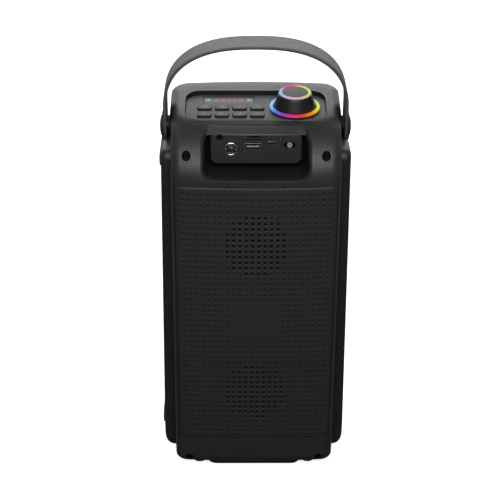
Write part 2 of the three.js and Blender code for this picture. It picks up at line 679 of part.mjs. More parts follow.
add(speaker, 'rear_shell', rearShell(), SHELL);
add(speaker, 'rear_vent_panel', rearVentPanel(), SHELL);
add(speaker, 'front_shell', frontShell(), SHELL);
add(speaker, 'front_grille', frontGrille(), DARK);
add(speaker, 'front_baffle', frontBaffle(), DARK);
add(speaker, 'side_panel_left', sidePanel(1), SIDE_FINISH);
add(speaker, 'side_panel_right', sidePanel(-1), SIDE_FINISH);
add(speaker, 'base_plate', basePlate(), DARK);
BASE_FEET.forEach(([place, x, y]) => add(speaker, `base_foot_${place}`, baseFoot(x, y), RUBBER));
SIDE_FEET.forEach(([place, z, height]) => add(speaker, `side_foot_${place}`, sideFoot(z, height), RUBBER));

['upper', 'lower'].forEach((place, i) => {
  const z = DRIVER_Z[i];
  add(speaker, `driver_basket_${place}`, driverBasket(z), STEEL);
  add(speaker, `driver_magnet_${place}`, driverMagnet(z), DARK);
  add(speaker, `driver_surround_${place}`, driverSurround(z), RUBBER);
  add(speaker, `driver_cone_${place}`, driverCone(z), PAPER);
  add(speaker, `light_ring_${place}`, lightRing(z), GLOW);
});

add(controls, 'control_panel', controlPanel(), PANEL_FINISH);
add(controls, 'display_window', displayWindow(), GLOSS);
add(controls, 'display_module', displayModule(), DARK);
add(controls, 'button_board', buttonBoard(), BOARD);
BUTTON_ROWS.forEach((y, row) => BUTTON_COLUMNS.forEach((x, column) =>
  add(controls, `button_${4 * row + column + 1}`, button(x, y), PANEL_FINISH)));
add(controls, 'knob_body', knobBody(), DARK);
add(controls, 'knob_cap', knobCap(), PANEL_FINISH);
add(controls, 'knob_top_ring', knobTopRing(), GLOW);
add(controls, 'knob_base_ring', knobBaseRing(), GLOW);
add(controls, 'encoder_body', encoderBody(), STEEL);
add(controls, 'encoder_shaft', encoderShaft(), STEEL);

add(speaker, 'port_housing', portHousing(), SHELL);
add(speaker, 'mic_jack', micJack(), STEEL);
add(speaker, 'aux_jack', auxJack(), DARK);
add(speaker, 'card_slot', cardSlot(), DARK);
add(speaker, 'usb_port', socket(USB, 0.5, 1.8, 0.3), STEEL);
add(speaker, 'micro_usb_port', socket(MICRO, 0.4, 0.6, 0.2), STEEL);
add(speaker, 'charge_led', rod('y', [LED.x, 0, LED.z], LED.radius, 34, 40.6, 8), RED);
add(speaker, 'switch_body', switchBody(), DARK);
add(speaker, 'switch_slider', switchSlider(), DARK);

add(speaker, 'handle_strap', handleStrap(), RUBBER);
[['left', 1], ['right', -1]].forEach(([place, side]) => {
  add(speaker, `pivot_pin_${place}`, pivotPin(side), STEEL);
  add(speaker, `strap_cap_${place}`, strapCap(side), DARK);
});

add(speaker, 'main_board', mainBoard(), BOARD);
add(speaker, 'battery_pack', batteryPack(), BATTERY);
UPPER_SCREWS.forEach((place) => add(speaker, place.name, screw(place), STEEL));

export default speaker;
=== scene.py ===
"""Party speaker: the looks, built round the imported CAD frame. Helpers work in millimetres."""

import json
import math

import bmesh
import bpy
import numpy as np
from mathutils import Matrix, Vector

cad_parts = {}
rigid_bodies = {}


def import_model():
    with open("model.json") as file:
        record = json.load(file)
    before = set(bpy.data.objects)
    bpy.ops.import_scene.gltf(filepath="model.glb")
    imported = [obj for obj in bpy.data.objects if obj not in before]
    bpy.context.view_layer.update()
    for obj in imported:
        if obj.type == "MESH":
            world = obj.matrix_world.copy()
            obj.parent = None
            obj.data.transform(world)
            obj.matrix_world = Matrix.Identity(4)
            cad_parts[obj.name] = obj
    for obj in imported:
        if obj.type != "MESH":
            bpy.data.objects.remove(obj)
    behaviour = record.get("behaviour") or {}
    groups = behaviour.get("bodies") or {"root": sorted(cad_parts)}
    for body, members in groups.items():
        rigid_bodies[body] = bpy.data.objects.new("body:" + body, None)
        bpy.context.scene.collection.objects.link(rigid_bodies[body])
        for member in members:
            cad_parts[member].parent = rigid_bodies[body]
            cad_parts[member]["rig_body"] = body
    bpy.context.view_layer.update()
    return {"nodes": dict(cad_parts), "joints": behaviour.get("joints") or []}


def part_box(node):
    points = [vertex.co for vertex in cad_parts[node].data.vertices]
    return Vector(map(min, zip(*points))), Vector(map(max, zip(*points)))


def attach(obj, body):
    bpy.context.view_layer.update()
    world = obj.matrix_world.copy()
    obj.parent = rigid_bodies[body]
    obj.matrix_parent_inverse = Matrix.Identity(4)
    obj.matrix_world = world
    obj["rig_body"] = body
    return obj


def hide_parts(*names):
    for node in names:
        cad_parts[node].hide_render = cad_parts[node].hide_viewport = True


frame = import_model()

# ---------------------------------------------------------------- driving sizes, mm
MM = 0.001
GAP = 0.3
WALL = 3
SEAM_Y = -1
TOP_Z = 316.8
TOP_END_Y = 25.6
TOP_SLOPE = math.tan(math.radians(8))
REAR_Y, FRONT_Y = 61, -60
SHOULDER_R, FRONT_TOP_R, BOTTOM_R = 40, 34.5, 12
REAR_BOW_R, FRONT_BOW_R = 700, 480
REAR_HALF, REAR_SIDE_R = 66, 6
FRONT_HALF, FRONT_SIDE_R = 68.6, 11
REAR_CORNER_R, FRONT_CORNER_R, LOW_SIDE_R = 8, 11, 8
BODY_BOTTOM = 4.5
SIDE_TAPER = 1.8 / 290

VENT = {"half": 64, "bottom": 35.3, "top": 274.4, "wall": 2.6, "pitch": 5, "columns": 24, "rows": 47}
VENT_TOP_Z = 268
CLUSTER_COUNTS = (4, 8, 8, 10, 10, 10, 10, 10, 8, 8, 4)
CLUSTER_FIRST_ROWS = (4, 32)
LABEL_ROWS, LABEL_COLUMNS = range(20, 27), range(8, 16)

POCKET = {"half": 40, "floor": 280.7, "back": 26, "lip": 311.5, "corner": 8, "fillet": 3.2}
PANEL = {"width": 111, "length": 44.8, "corner": 12, "thick": 2.4, "y": 4.1, "z": 318.1}
PANEL_TILT = math.radians(3.6)
GRILLE = {"half": 61, "bottom": 16, "top": 300, "corner": 14, "thick": 1.2, "pitch": 3.55}
SCREW_PLACES = ((54, 297.4), (-54, 297.4), (56, 13.2), (-56, 13.2))
PIVOT_Z = frame["joints"][0]["pos_m"][2] / MM
FAR = 200
SIDE_COVER = {"bottom": 9, "top": 295.9, "rear": 40, "front": -42, "outer": 74.5, "lean": 3.8, "core": 30,
              "corner": 5, "end_r": 9, "foot_r": 16, "foot_share": 0.55, "top_r": 5}
NOTCH = {"radius": 15.2, "floor": 55, "flare_from": 71, "flare": 3.4, "mouth": (22, 84)}
PORT_BLOCK = {"half": 35.5, "bottom": 285.3, "top": 311.2, "back": 26.3, "face": 40.5, "corner": 5.5}
BROW_HALF = 38.6
STRAP_ARCH = {"half": 71.9, "spring": 318, "rise": 52.3, "power": 2.5}
STRAP_BAND = {"width": 27, "thick": 2.6, "corner": 0.9}
TAIL_R = STRAP_BAND["width"] / 2
KEY_COLUMNS, KEY_ROWS = (40.5, 26.65, 12.8, -1.05), (14.6, 2.1)
KEY_PLACES = [(x, y) for y in KEY_ROWS for x in KEY_COLUMNS]
KNOB_PLACE = (-30.7, 3.6)
DISPLAY = {"centre": np.array([21.4, -13.8]), "size": np.array([40.8, 13.4])}


def node_box(node):
    """A CAD node's lowest and highest corner, in mm."""
    low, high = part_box(node)
    return np.array(low) / MM, np.array(high) / MM


def node_centre(node):
    low, high = node_box(node)
    return (low + high) / 2


# ---------------------------------------------------------------- materials
def new_material(name):
    material = bpy.data.materials.new(name)
    material.use_nodes = True
    tree = material.node_tree
    return material, tree, tree.nodes["Principled BSDF"]


def set_inputs(tree, node, **values):
    """Sets a node's inputs by name; a pair (node, output) is linked instead."""
    for key, value in values.items():
        if hasattr(node, key) and key not in node.inputs:
            setattr(node, key, value)
            continue
        socket = node.inputs[int(key[1:])] if key[0] == "_" else node.inputs[key.replace("_", " ")]
        if isinstance(value, tuple) and isinstance(value[0], bpy.types.Node):
            tree.links.new(value[0].outputs[value[1]], socket)
        else:
            socket.default_value = value
    return node


def add_node(tree, kind, **values):
    return set_inputs(tree, tree.nodes.new("ShaderNode" + kind), **values)


def shade(color, factor):
    return (*[min(1, c * factor) for c in color], 1)


def noise(tree, place, scale, detail=4):
    return add_node(tree, "TexNoise", Vector=(place, "Object"), Scale=scale, Detail=detail)


def spread(tree, source, low, high):
    """The source's middle range of values, stretched from low to high."""
    return add_node(tree, "MapRange", Value=(source, 0), From_Min=0.3, From_Max=0.7, To_Min=low, To_Max=high)


def two_tone(tree, source, color, deep, pale):
    """One colour between two shades of it, by the source's value."""
    return add_node(tree, "Mix", data_type="RGBA", _0=(source, 0), _6=shade(color, deep),
                    _7=shade(color, pale))


def plastic(name, color, roughness=0.5, grain=0.45, depth=0.012, specular=0.3, patch=0.12, edge=0.35,
            coat=0.0):
    """Moulded or painted stock: faint patches, a fine grain, and edges painted paler, partly wear from
    handling and partly a painted highlight.
    """
    material, tree, shader = new_material(name)
    place = add_node(tree, "TexCoord")
    mixed = two_tone(tree, noise(tree, place, 45, 6), color, 1 - patch, 1 + patch)
    rounded = add_node(tree, "Bevel", samples=4, Radius=0.45 * MM)
    geometry = add_node(tree, "NewGeometry")
    facing = add_node(tree, "VectorMath", operation="DOT_PRODUCT", _0=(rounded, 0), _1=(geometry, "Normal"))
    # Edge mask: crisp edges lightened towards a pale copy of the colour, wear plus a painted highlight.
    worn_and_highlit_edge = add_node(tree, "MapRange", Value=(facing, "Value"), From_Min=0.995, From_Max=0.9, To_Min=0,
                    To_Max=edge)
    final = add_node(tree, "Mix", data_type="RGBA", _0=(worn_and_highlit_edge, 0), _6=(mixed, 2), _7=shade(color, 2.2))
    rough = spread(tree, noise(tree, place, 260, 5), roughness - 0.05, roughness + 0.05)
    fine = noise(tree, place, 1 / (grain * MM), 3)
    bump = add_node(tree, "Bump", Strength=1, Distance=depth * MM, Height=(fine, 0), Normal=(rounded, 0))
    set_inputs(tree, shader, Base_Color=(final, 2), Roughness=(rough, 0), Normal=(bump, 0),
               Specular_IOR_Level=specular, Coat_Weight=coat)
    return material


def leather(name, color):
    """Rubbery strap with a pebbled grain that sits in fine lines."""
    material, tree, shader = new_material(name)
    place = add_node(tree, "TexCoord")
    cells = add_node(tree, "TexVoronoi", Vector=(place, "Object"), Scale=1150, feature="SMOOTH_F1")
    mixed = two_tone(tree, spread(tree, noise(tree, place, 120, 6), 0, 1), color, 0.85, 1.15)
    rough = spread(tree, noise(tree, place, 500, 4), 0.5, 0.66)
    bump = add_node(tree, "Bump", Strength=1, Distance=0.06 * MM, Height=(cells, 0))
    set_inputs(tree, shader, Base_Color=(mixed, 2), Roughness=(rough, 0), Normal=(bump, 0),
               Specular_IOR_Level=0.4)
    return material


def metal(name, color, roughness, scratch=1.0):
    """Bright or brushed metal with a soft cloud and hairline marks."""
    material, tree, shader = new_material(name)
    place = add_node(tree, "TexCoord")
    stretched = add_node(tree, "Mapping", Vector=(place, "Object"), Scale=(300, 300, 5000))
    lines = add_node(tree, "TexNoise", Vector=(stretched, 0), Scale=1, Detail=3)
    mixed = two_tone(tree, spread(tree, noise(tree, place, 90, 4), 0.88, 1.0), color, 0.7, 1)
    rough = spread(tree, lines, max(0.03, roughness - 0.06), roughness + 0.08)
    bump = add_node(tree, "Bump", Strength=1, Distance=0.002 * scratch * MM, Height=(lines, 0))
    set_inputs(tree, shader, Base_Color=(mixed, 2), Roughness=(rough, 0), Normal=(bump, 0), Metallic=1)
    return material


def glow_wheel(name, centre, stops, strength):
    """A diffusing ring lit from inside, its colours set out round the knob's axis."""
    material, tree, shader = new_material(name)
    place = add_node(tree, "TexCoord")
    moved = add_node(tree, "Mapping", Vector=(place, "Object"),
                     Location=(-centre[0] * MM, -centre[1] * MM, 0))
    wheel = add_node(tree, "TexGradient", gradient_type="RADIAL", Vector=(moved, 0))
    ramp = add_node(tree, "ValToRGB", Fac=(wheel, 0))
    ramp.color_ramp.interpolation = "EASE"
    for position, color in stops[2:]:
        ramp.color_ramp.elements.new(position)
    for element, (position, color) in zip(ramp.color_ramp.elements, sorted(stops)):
        element.position = position
        element.color = (*color, 1)
    cloud = spread(tree, noise(tree, place, 400, 3), 0.92, 1.06)
    lit = add_node(tree, "VectorMath", operation="SCALE", _0=(ramp, 0), Scale=(cloud, 0))
    body = add_node(tree, "VectorMath", operation="SCALE", _0=(lit, 0), Scale=0.3)
    set_inputs(tree, shader, Base_Color=(body, 0), Emission_Color=(lit, 0), Emission_Strength=strength,
               Roughness=0.5, Specular_IOR_Level=0.2)
    return material


def lamp(name, color, strength):
    """A small lit mark or lamp, a little uneven."""
    material, tree, shader = new_material(name)
    place = add_node(tree, "TexCoord")
    mixed = two_tone(tree, spread(tree, noise(tree, place, 1500, 3), 0, 1), color, 0.8, 1)
    set_inputs(tree, shader, Base_Color=(mixed, 2), Emission_Color=(mixed, 2), Emission_Strength=strength,
               Roughness=0.4)
    return material


def board_material(name, color):
    """Solder mask with paler copper runs under it."""
    material, tree, shader = new_material(name)
    place = add_node(tree, "TexCoord")
    tracks = add_node(tree, "TexBrick", Vector=(place, "Object"), Scale=180, Color1=shade(color, 0.8),
                      Color2=shade(color, 1.1), Mortar=shade(color, 2.2), Mortar_Size=0.03)
    bump = add_node(tree, "Bump", Strength=0.6, Distance=0.03 * MM, Height=(tracks, 1))
    set_inputs(tree, shader, Base_Color=(tracks, 0), Normal=(bump, 0), Roughness=0.38)
    return material


KNOB_CENTRE = node_centre("knob_base_ring")
BASE_WHEEL = (  # share of a turn from -X, colour
    (0.0, (0.62, 0.85, 0.10)), (0.12, (0.25, 0.85, 0.2)), (0.25, (0.05, 0.75, 0.6)),
    (0.38, (0.45, 0.35, 0.9)), (0.47, (0.35, 0.62, 1.0)), (0.55, (0.18, 0.5, 0.95)),
    (0.61, (0.05, 0.2, 0.75)), (0.66, (0.35, 0.05, 0.55)), (0.72, (0.85, 0.02, 0.3)),
    (0.78, (0.9, 0.03, 0.04)), (0.85, (0.95, 0.25, 0.01)), (0.92, (0.9, 0.72, 0.02)),
    (0.98, (0.75, 0.88, 0.08)))
TOP_WHEEL = (
    (0.0, (0.75, 0.95, 0.15)), (0.1, (0.85, 0.95, 0.1)), (0.19, (0.95, 0.6, 0.1)),
    (0.27, (0.9, 0.12, 0.1)), (0.36, (0.85, 0.05, 0.35)), (0.43, (0.75, 0.25, 0.75)),
    (0.49, (0.3, 0.65, 1.0)), (0.56, (0.4, 0.7, 0.95)), (0.66, (0.75, 0.55, 0.75)),
    (0.76, (0.9, 0.5, 0.55)), (0.86, (0.9, 0.7, 0.4)), (0.94, (0.8, 0.9, 0.2)))
DIM_WHEEL = tuple((place, tuple(0.35 + 0.4 * c for c in color)) for place, color in BASE_WHEEL)

SHELL = plastic("shell_plastic", (0.021, 0.021, 0.022), 0.42, edge=0.1)
PANEL_TOP = plastic("panel_plastic", (0.07, 0.07, 0.071), 0.55, grain=0.3, depth=0.006, specular=0.15,
                    edge=0.1)
BROW_PLASTIC = plastic("brow_plastic", (0.036, 0.036, 0.037), 0.5, specular=0.15, edge=0)
# Side panel plastic, also used as painted shade in the vent panel's hollows.
SIDE = plastic("side_plastic_and_hollow_shade", (0.014, 0.014, 0.0145), 0.44, edge=0.08)
# Near-black plastic for black inner parts, also used as painted shade on cut walls and key sides.
BLACK = plastic("black_plastic_and_painted_shade", (0.006, 0.006, 0.0062), 0.62, specular=0.2)
KNOB = plastic("knob_satin", (0.007, 0.007, 0.0073), 0.36, grain=0.25, depth=0.004, specular=0.4, edge=0.15)
RUBBER = plastic("foot_rubber", (0.018, 0.018, 0.018), 0.75, grain=0.6, depth=0.03, specular=0.3)
GRILLE_PAINT = plastic("grille_powder_coat", (0.012, 0.012, 0.0125), 0.42, grain=0.25, specular=0.5, edge=0.2)
STRAP = leather("strap_rubber", (0.046, 0.046, 0.047))
CHROME = metal("chrome", (0.85, 0.85, 0.86), 0.12)
STEEL = metal("zinc_steel", (0.55, 0.55, 0.56), 0.32, 3)
DULL_STEEL = metal("socket_steel", (0.30, 0.30, 0.31), 0.45, 3)
FERRITE = plastic("ferrite", (0.05, 0.05, 0.052), 0.55, grain=0.8, depth=0.05)
PAPER = plastic("pressed_fibre", (0.02, 0.02, 0.021), 0.7, grain=1.2, depth=0.08)
BOARD = board_material("solder_mask", (0.01, 0.09, 0.03))
WRAP = plastic("battery_wrap", (0.02, 0.09, 0.28), 0.35, grain=4, depth=0.08, coat=0.3)
GLASS = plastic("smoked_window", (0.06, 0.06, 0.061), 0.4, grain=0.8, depth=0.001, specular=0.2, edge=0.1)
PRINT = plastic("pale_print", (0.19, 0.19, 0.192), 0.6, edge=0)
RED_LED = lamp("red_lamp", (0.2, 0.012, 0.01), 0.05)
RED_DIGIT = lamp("red_digit", (0.42, 0.035, 0.03), 0.4)
GREEN_MARK = lamp("green_mark", (0.10, 0.42, 0.14), 0.4)
BASE_GLOW = glow_wheel("base_ring_glow", KNOB_CENTRE, BASE_WHEEL, 0.5)
TOP_GLOW = glow_wheel("top_ring_glow", KNOB_CENTRE, TOP_WHEEL, 0.4)


# ---------------------------------------------------------------- mesh helpers
def outline(width, height, corner, centre=(0, 0), corner_steps=8, side_steps=1):
    """A rounded rectangle's points, anticlockwise from the right side's top corner."""
    half = np.array([width, height]) / 2
    corner = min(max(corner, 0.02), *half)
    arcs = []
    for quarter, signs in enumerate(((1, 1), (-1, 1), (-1, -1), (1, -1))):
        angles = (quarter + np.linspace(0, 1, corner_steps + 1)) * math.pi / 2
        middle = np.array(centre) + np.array(signs) * (half - corner)
        arcs.append(middle + corner * np.stack([np.cos(angles), np.sin(angles)], 1))
    points = []
    for arc, following in zip(arcs, arcs[1:] + arcs[:1]):
        points.extend(arc)
        points.extend(arc[-1] + (following[0] - arc[-1]) * i / side_steps for i in range(1, side_steps))
    return np.array(points)


def stand(flat, along, axis):
    """Flat points set at a place along an axis: outlines are in YZ, XZ or XY."""
    u, v = flat.T
    w = np.broadcast_to(along, u.shape)
    return np.stack({"x": (w, u, v), "y": (u, w, v), "z": (u, v, w)}[axis], 1)


def slab(size, corner, centre, span, axis, edges=(0, 0), steps=5, side_steps=1):
    """Rings of a rounded bar along an axis, with its end edges rounded too."""
    ends = []
    for edge, end, sign in ((edges[0], span[0], 1), (edges[1], span[1], -1)):
        rings = []
        for i in range(steps + 1) if edge else [steps]:
            angle = i / steps * math.pi / 2
            inset = edge * (1 - math.sin(angle))
            flat = outline(size[0] - 2 * inset, size[1] - 2 * inset, corner - inset, centre,
                           side_steps=side_steps)
            rings.append(stand(flat, end + sign * edge * (1 - math.cos(angle)), axis))
        ends.append(rings)
    return ends[0] + ends[1][::-1]


def soften(profile, radius, steps=4):
    """A turned profile with each of its inner corners rounded."""
    points = [np.array(p, float) for p in profile]
    result = [points[0]]
    for before, here, after in zip(points, points[1:], points[2:]):
        back, on = before - here, after - here
        reach = min(radius, 0.45 * np.linalg.norm(back), 0.45 * np.linalg.norm(on))
        start = here + back / np.linalg.norm(back) * reach
        end = here + on / np.linalg.norm(on) * reach
        for t in np.linspace(0, 1, steps + 1):
            result.append((1 - t) ** 2 * start + 2 * t * (1 - t) * here + t ** 2 * end)
    return result + [points[-1]]


def turn(profile, axis, centre, segments=64):
    """Rings of a turned piece: profile points are (radius, distance along the axis)."""
    angles = np.linspace(0, 2 * math.pi, segments, endpoint=False)
    circle = np.stack([np.cos(angles), np.sin(angles)], 1)
    return [stand(circle * radius + np.array(centre), along, axis) for radius, along in profile if radius > 0]


def mesh_piece(name, points, faces, materials, bands=None):
    mesh = bpy.data.meshes.new(name)
    mesh.from_pydata((np.asarray(points, float) * MM).tolist(), [], faces)
    for material in materials:
        mesh.materials.append(material)
    if bands is not None:
        mesh.polygons.foreach_set("material_index", bands)
    kit = bmesh.new()
    kit.from_mesh(mesh)
    bmesh.ops.recalc_face_normals(kit, faces=kit.faces)
    kit.to_mesh(mesh)
    kit.free()
    piece = bpy.data.objects.new(name, mesh)
    bpy.context.scene.collection.objects.link(piece)
    return piece


def loft(name, rings, material, closed=False, bands=None):
    """A skin over rings of equal count, capped at both ends unless it closes on itself."""
    materials = material if isinstance(material, list) else [material]
    count = len(rings[0])
    last = len(rings) - (0 if closed else 1)
    faces, marks = [], []
    for level in range(last):
        low, high = level * count, (level + 1) % len(rings) * count
        for i in range(count):
            j = (i + 1) % count
            faces.append((low + i, low + j, high + j, high + i))
            marks.append(bands[level] if bands else 0)
    if not closed:
        faces.append(tuple(range(count))[::-1])
        faces.append(tuple(range((len(rings) - 1) * count, len(rings) * count)))
        marks += [bands[0] if bands else 0, bands[-1] if bands else 0]
    return mesh_piece(name, np.concatenate(rings), faces, materials, marks)


def block(name, low, high, material):
    size = np.subtract(high, low)
    centre = np.add(high, low) / 2
    flat = outline(size[0], size[1], 0.02, centre[:2], corner_steps=1)
    return loft(name, [stand(flat, low[2], "z"), stand(flat, high[2], "z")], material)


def settle(piece):
    """Turns a piece's modifiers into its mesh."""
    graph = bpy.context.evaluated_depsgraph_get()
    finished = bpy.data.meshes.new_from_object(piece.evaluated_get(graph))
    piece.modifiers.clear()
    piece.data = finished


def boolean(piece, operation, *tools):
    for tool in tools:
        step = piece.modifiers.new("shape", "BOOLEAN")
        step.operation, step.solver, step.object = operation, "MANIFOLD", tool
        settle(piece)
        bpy.data.objects.remove(tool)
    return piece


def cut(piece, *tools):
    return boolean(piece, "DIFFERENCE", *tools)


def keep(piece, *tools):
    return boolean(piece, "INTERSECT", *tools)


def weld(piece, *tools):
    return boolean(piece, "UNION", *tools)


def merge(name, *parts):
    """Several separate bodies as one piece, with each one's materials kept."""
    kit = bmesh.new()
    materials = []
    for part in parts:
        start = len(kit.faces)
        kit.from_mesh(part.data)
        kit.faces.ensure_lookup_table()
        slots = []
        for material in part.data.materials:
            if material not in materials:
                materials.append(material)
            slots.append(materials.index(material))
        for face in kit.faces[start:]:
            face.material_index = slots[face.material_index]
        bpy.data.objects.remove(part)
    mesh = bpy.data.meshes.new(name)
    kit.to_mesh(mesh)
    kit.free()
    for material in materials:
        mesh.materials.append(material)
    piece = bpy.data.objects.new(name, mesh)
    bpy.context.scene.collection.objects.link(piece)
    return piece


CONTROLS = (Matrix.Translation((0, PANEL["y"] * MM, PANEL["z"] * MM))
            @ Matrix.Rotation(-PANEL_TILT, 4, "X"))


def tilt(piece):
    """Moves a piece made level at the origin onto the control panel."""
    piece.data.transform(CONTROLS)
    return piece


def fit(piece, *nodes, on=None, angle=32):
    """Shades a piece, and puts it on the body of the CAD nodes that it stands for."""
    mesh = piece.data
    mesh.polygons.foreach_set("use_smooth", [True] * len(mesh.polygons))
    kit = bmesh.new()
    kit.from_mesh(mesh)
    limit = math.radians(angle)
    for edge in kit.edges:
        edge.smooth = len(edge.link_faces) == 2 and edge.calc_face_angle(0) < limit
    kit.to_mesh(mesh)
    kit.free()
    source = on or nodes[0]
    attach(piece, frame["nodes"][source]["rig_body"])
    if nodes:
        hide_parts(*nodes)
    return piece


# ---------------------------------------------------------------- cabinet form
def rounding(radius, depth):
    reach = np.clip(depth, 0, radius)
    return radius - np.sqrt(radius ** 2 - (radius - reach) ** 2)


def smooth(value, low, high):
    t = np.clip((value - low) / (high - low), 0, 1)
    return t * t * (3 - 2 * t)


def level_shape(level, half, side_r, grow=0.0, top_grow=None):
    """Half width, rear, front and lift of the cabinet's outline at a level."""
    top = TOP_Z + (grow if top_grow is None else top_grow)
    above, below = level - (BODY_BOTTOM - grow), top - level
    wide = (half + grow + SIDE_TAPER * (TOP_Z - level)
            - rounding(side_r, below) - rounding(LOW_SIDE_R, above))
    rear = REAR_Y + grow - rounding(SHOULDER_R, below) - rounding(BOTTOM_R, above)
    front = FRONT_Y - grow + rounding(FRONT_TOP_R, below) + rounding(BOTTOM_R, above)
    return wide, rear, front, TOP_SLOPE * smooth(level, TOP_Z - SHOULDER_R, TOP_Z)


def bow(x, y):
    return np.where(y > 0, -x ** 2 / (2 * REAR_BOW_R) * np.minimum(1, y / 30),
                    x ** 2 / (2 * FRONT_BOW_R) * np.minimum(1, -y / 30))


def cabinet(name, half, side_r, material, grow=0.0, top_grow=None):
    """The cabinet's outer form, or with a negative grow its inside."""
    bottom = BODY_BOTTOM - grow
    top = TOP_Z + (grow if top_grow is None else top_grow)
    low = bottom + BOTTOM_R * (1 - np.cos(np.linspace(0, math.pi / 2, 9)))
    high = top - SHOULDER_R * (1 - np.cos(np.linspace(math.pi / 2, 0, 33)))
    middle = np.linspace(low[-1], high[0], 10)[1:-1]
    rings = []
    for level in np.concatenate([low, middle, high]):
        wide, rear, front, lift = level_shape(level, half, side_r, grow, top_grow)
        behind, before = [outline(2 * wide, rear - front, max(r + grow, 2), (0, (rear + front) / 2), 8, 12)
                          for r in (REAR_CORNER_R, FRONT_CORNER_R)]
        half_count = len(behind) // 2
        x, y = np.concatenate([behind[:half_count], before[half_count:]]).T
        rings.append(np.stack([x, y + bow(x, y), level + lift * (TOP_END_Y - y)], 1))
    return loft(name, rings, material)


LEVELS = np.linspace(BODY_BOTTOM, TOP_Z, 3000)


def face_table(half, side_r, rear):
    """Heights up a face with its half width and its place in Y at each."""
    wide, rear_at, front_at, lift = level_shape(LEVELS, half, side_r)
    at = rear_at if rear else front_at
    return LEVELS + lift * (TOP_END_Y - at), wide, at


REAR_FACE = face_table(REAR_HALF, REAR_SIDE_R, True)
FRONT_FACE = face_table(FRONT_HALF, FRONT_SIDE_R, False)


def inset(x, z, face, radius, bow_r):
    """How far a face lies inside its middle's place, from its bow and its upright corners."""
    past = np.clip(np.abs(x) - (np.interp(z, face[0], face[1]) - radius), 0, radius - 0.01)
    return x ** 2 / (2 * bow_r) + radius - np.sqrt(radius ** 2 - past ** 2)


def rear_y(x, z):
    return np.interp(z, REAR_FACE[0], REAR_FACE[2]) - inset(x, z, REAR_FACE, REAR_CORNER_R, REAR_BOW_R)


def front_y(x, z):
    return np.interp(z, FRONT_FACE[0], FRONT_FACE[2]) + inset(x, z, FRONT_FACE, FRONT_CORNER_R, FRONT_BOW_R)


# ---------------------------------------------------------------- shells
def shade_cut_walls(cutter):
    """Makes a cutter leave walls of the piece's second material, near-black: a painted shade in the recess,
    seam or slot.
    """
    cutter.data.materials.append(BLACK)
    cutter.data.polygons.foreach_set("material_index", [1] * len(cutter.data.polygons))
    return cutter


def half_space(sign):
    """Everything behind or in front of the seam between the shells."""
    seam = SEAM_Y + sign * GAP / 2
    low, high = (seam, FAR) if sign > 0 else (-FAR, seam)
    return block("half_space", (-FAR, low, -FAR), (FAR, high, 2 * FAR), BLACK)


def panel_well():
    return loft("well", slab((PANEL["width"] + 2 * GAP, PANEL["length"] + 2 * GAP), PANEL["corner"],
                             (0, PANEL["y"]), (POCKET["lip"], TOP_Z + 20), "z", steps=1), BLACK)


def surface_cutter(name, size, corner, centre, surface, sign, depth, fillet, side_steps=18):
    """A cutter that sinks into a curved face and opens with a rounded lip that follows the face."""
    rings = []

    def ring(grown, fall, flat_at=None):
        flat = outline(size[0] + 2 * grown, size[1] + 2 * grown, corner + grown, centre,
                       side_steps=side_steps)
        along = flat_at if flat_at is not None else surface(flat[:, 0], flat[:, 1]) - sign * fall
        rings.append(stand(flat, along, "y"))

    ring(0, 0, depth)
    for angle in np.linspace(0, math.pi / 2, 8):
        ring(fillet * (1 - math.cos(angle)), fillet * (1 - math.sin(angle)))
    ring(fillet + 0.6, -0.25)
    ring(fillet + 0.6, -8)
    return loft(name, rings, BLACK)


def pocket_cutter():
    low, high = POCKET["floor"], POCKET["lip"]
    return surface_cutter("pocket", (2 * POCKET["half"], high - low), POCKET["corner"],
                          (0, (low + high) / 2), rear_y, 1, POCKET["back"], POCKET["fillet"])


def recess_cutter(x, z):
    """A screw recess with a slightly broken edge."""
    face = float(rear_y(np.array(x), np.array(z)))
    profile = [(3.25, 44), (3.25, face - 1), (3.5, face + 0.3), (3.5, face + 12)]
    return loft("recess", turn(profile, "y", (x, z), 40), BLACK)


def groove_cutter(side, z):
    """The seam of the vent panel, carried on round the shell's upright corner."""
    low, high = sorted((side * (VENT["half"] - 0.2), side * 80))
    band = block("groove", (low, 38, z - 0.25), (high, 80, z + 0.25), BLACK)
    return cut(band, cabinet("inner", REAR_HALF, REAR_SIDE_R, BLACK, -0.7))


def latch_cutter(x):
    z = VENT["top"] + 0.6
    return block("latch", (x - 1.6, 50, z - 0.9), (x + 1.6, 70, z + 0.5), BLACK)


def rear_shell():
    shell = cabinet("rear_shell_skin", REAR_HALF, REAR_SIDE_R, [SHELL, BLACK])
    cut(shell, cabinet("inside", REAR_HALF, REAR_SIDE_R, BLACK, -WALL, -5))
    for x, z in SCREW_PLACES:
        post = loft("post", turn([(5.5, 14), (5.5, 70)], "y", (x, z), 32), BLACK)
        weld(shell, keep(post, cabinet("form", REAR_HALF, REAR_SIDE_R, BLACK, -1)))
    walls = block("walls", (-42.5, 23.5, 278.2), (42.5, 70, 316), BLACK)
    weld(shell, keep(walls, cabinet("form", REAR_HALF, REAR_SIDE_R, BLACK, -1)))
    keep(shell, half_space(1))
    cut(shell, block("window", (-VENT["half"], 40, VENT["bottom"]), (VENT["half"], 80, VENT["top"]), BLACK),
        pocket_cutter(), panel_well())
    # Painted shade: the walls of the screw recesses, seam grooves and latch slots are near-black.
    cut(shell, *[shade_cut_walls(recess_cutter(x, z)) for x, z in SCREW_PLACES])
    cut(shell, *[shade_cut_walls(groove_cutter(side, z)) for side in (1, -1) for z in (VENT["bottom"], VENT["top"])])
    cut(shell, *[shade_cut_walls(latch_cutter(x)) for x in (22, -22)])
    for side in (1, -1):
        bore = loft("bore", turn([(8.4, side * 50), (8.4, side * 80)], "x", (0, PIVOT_Z), 40), BLACK)
        cut(shell, bore)
    return fit(shell, "rear_shell")


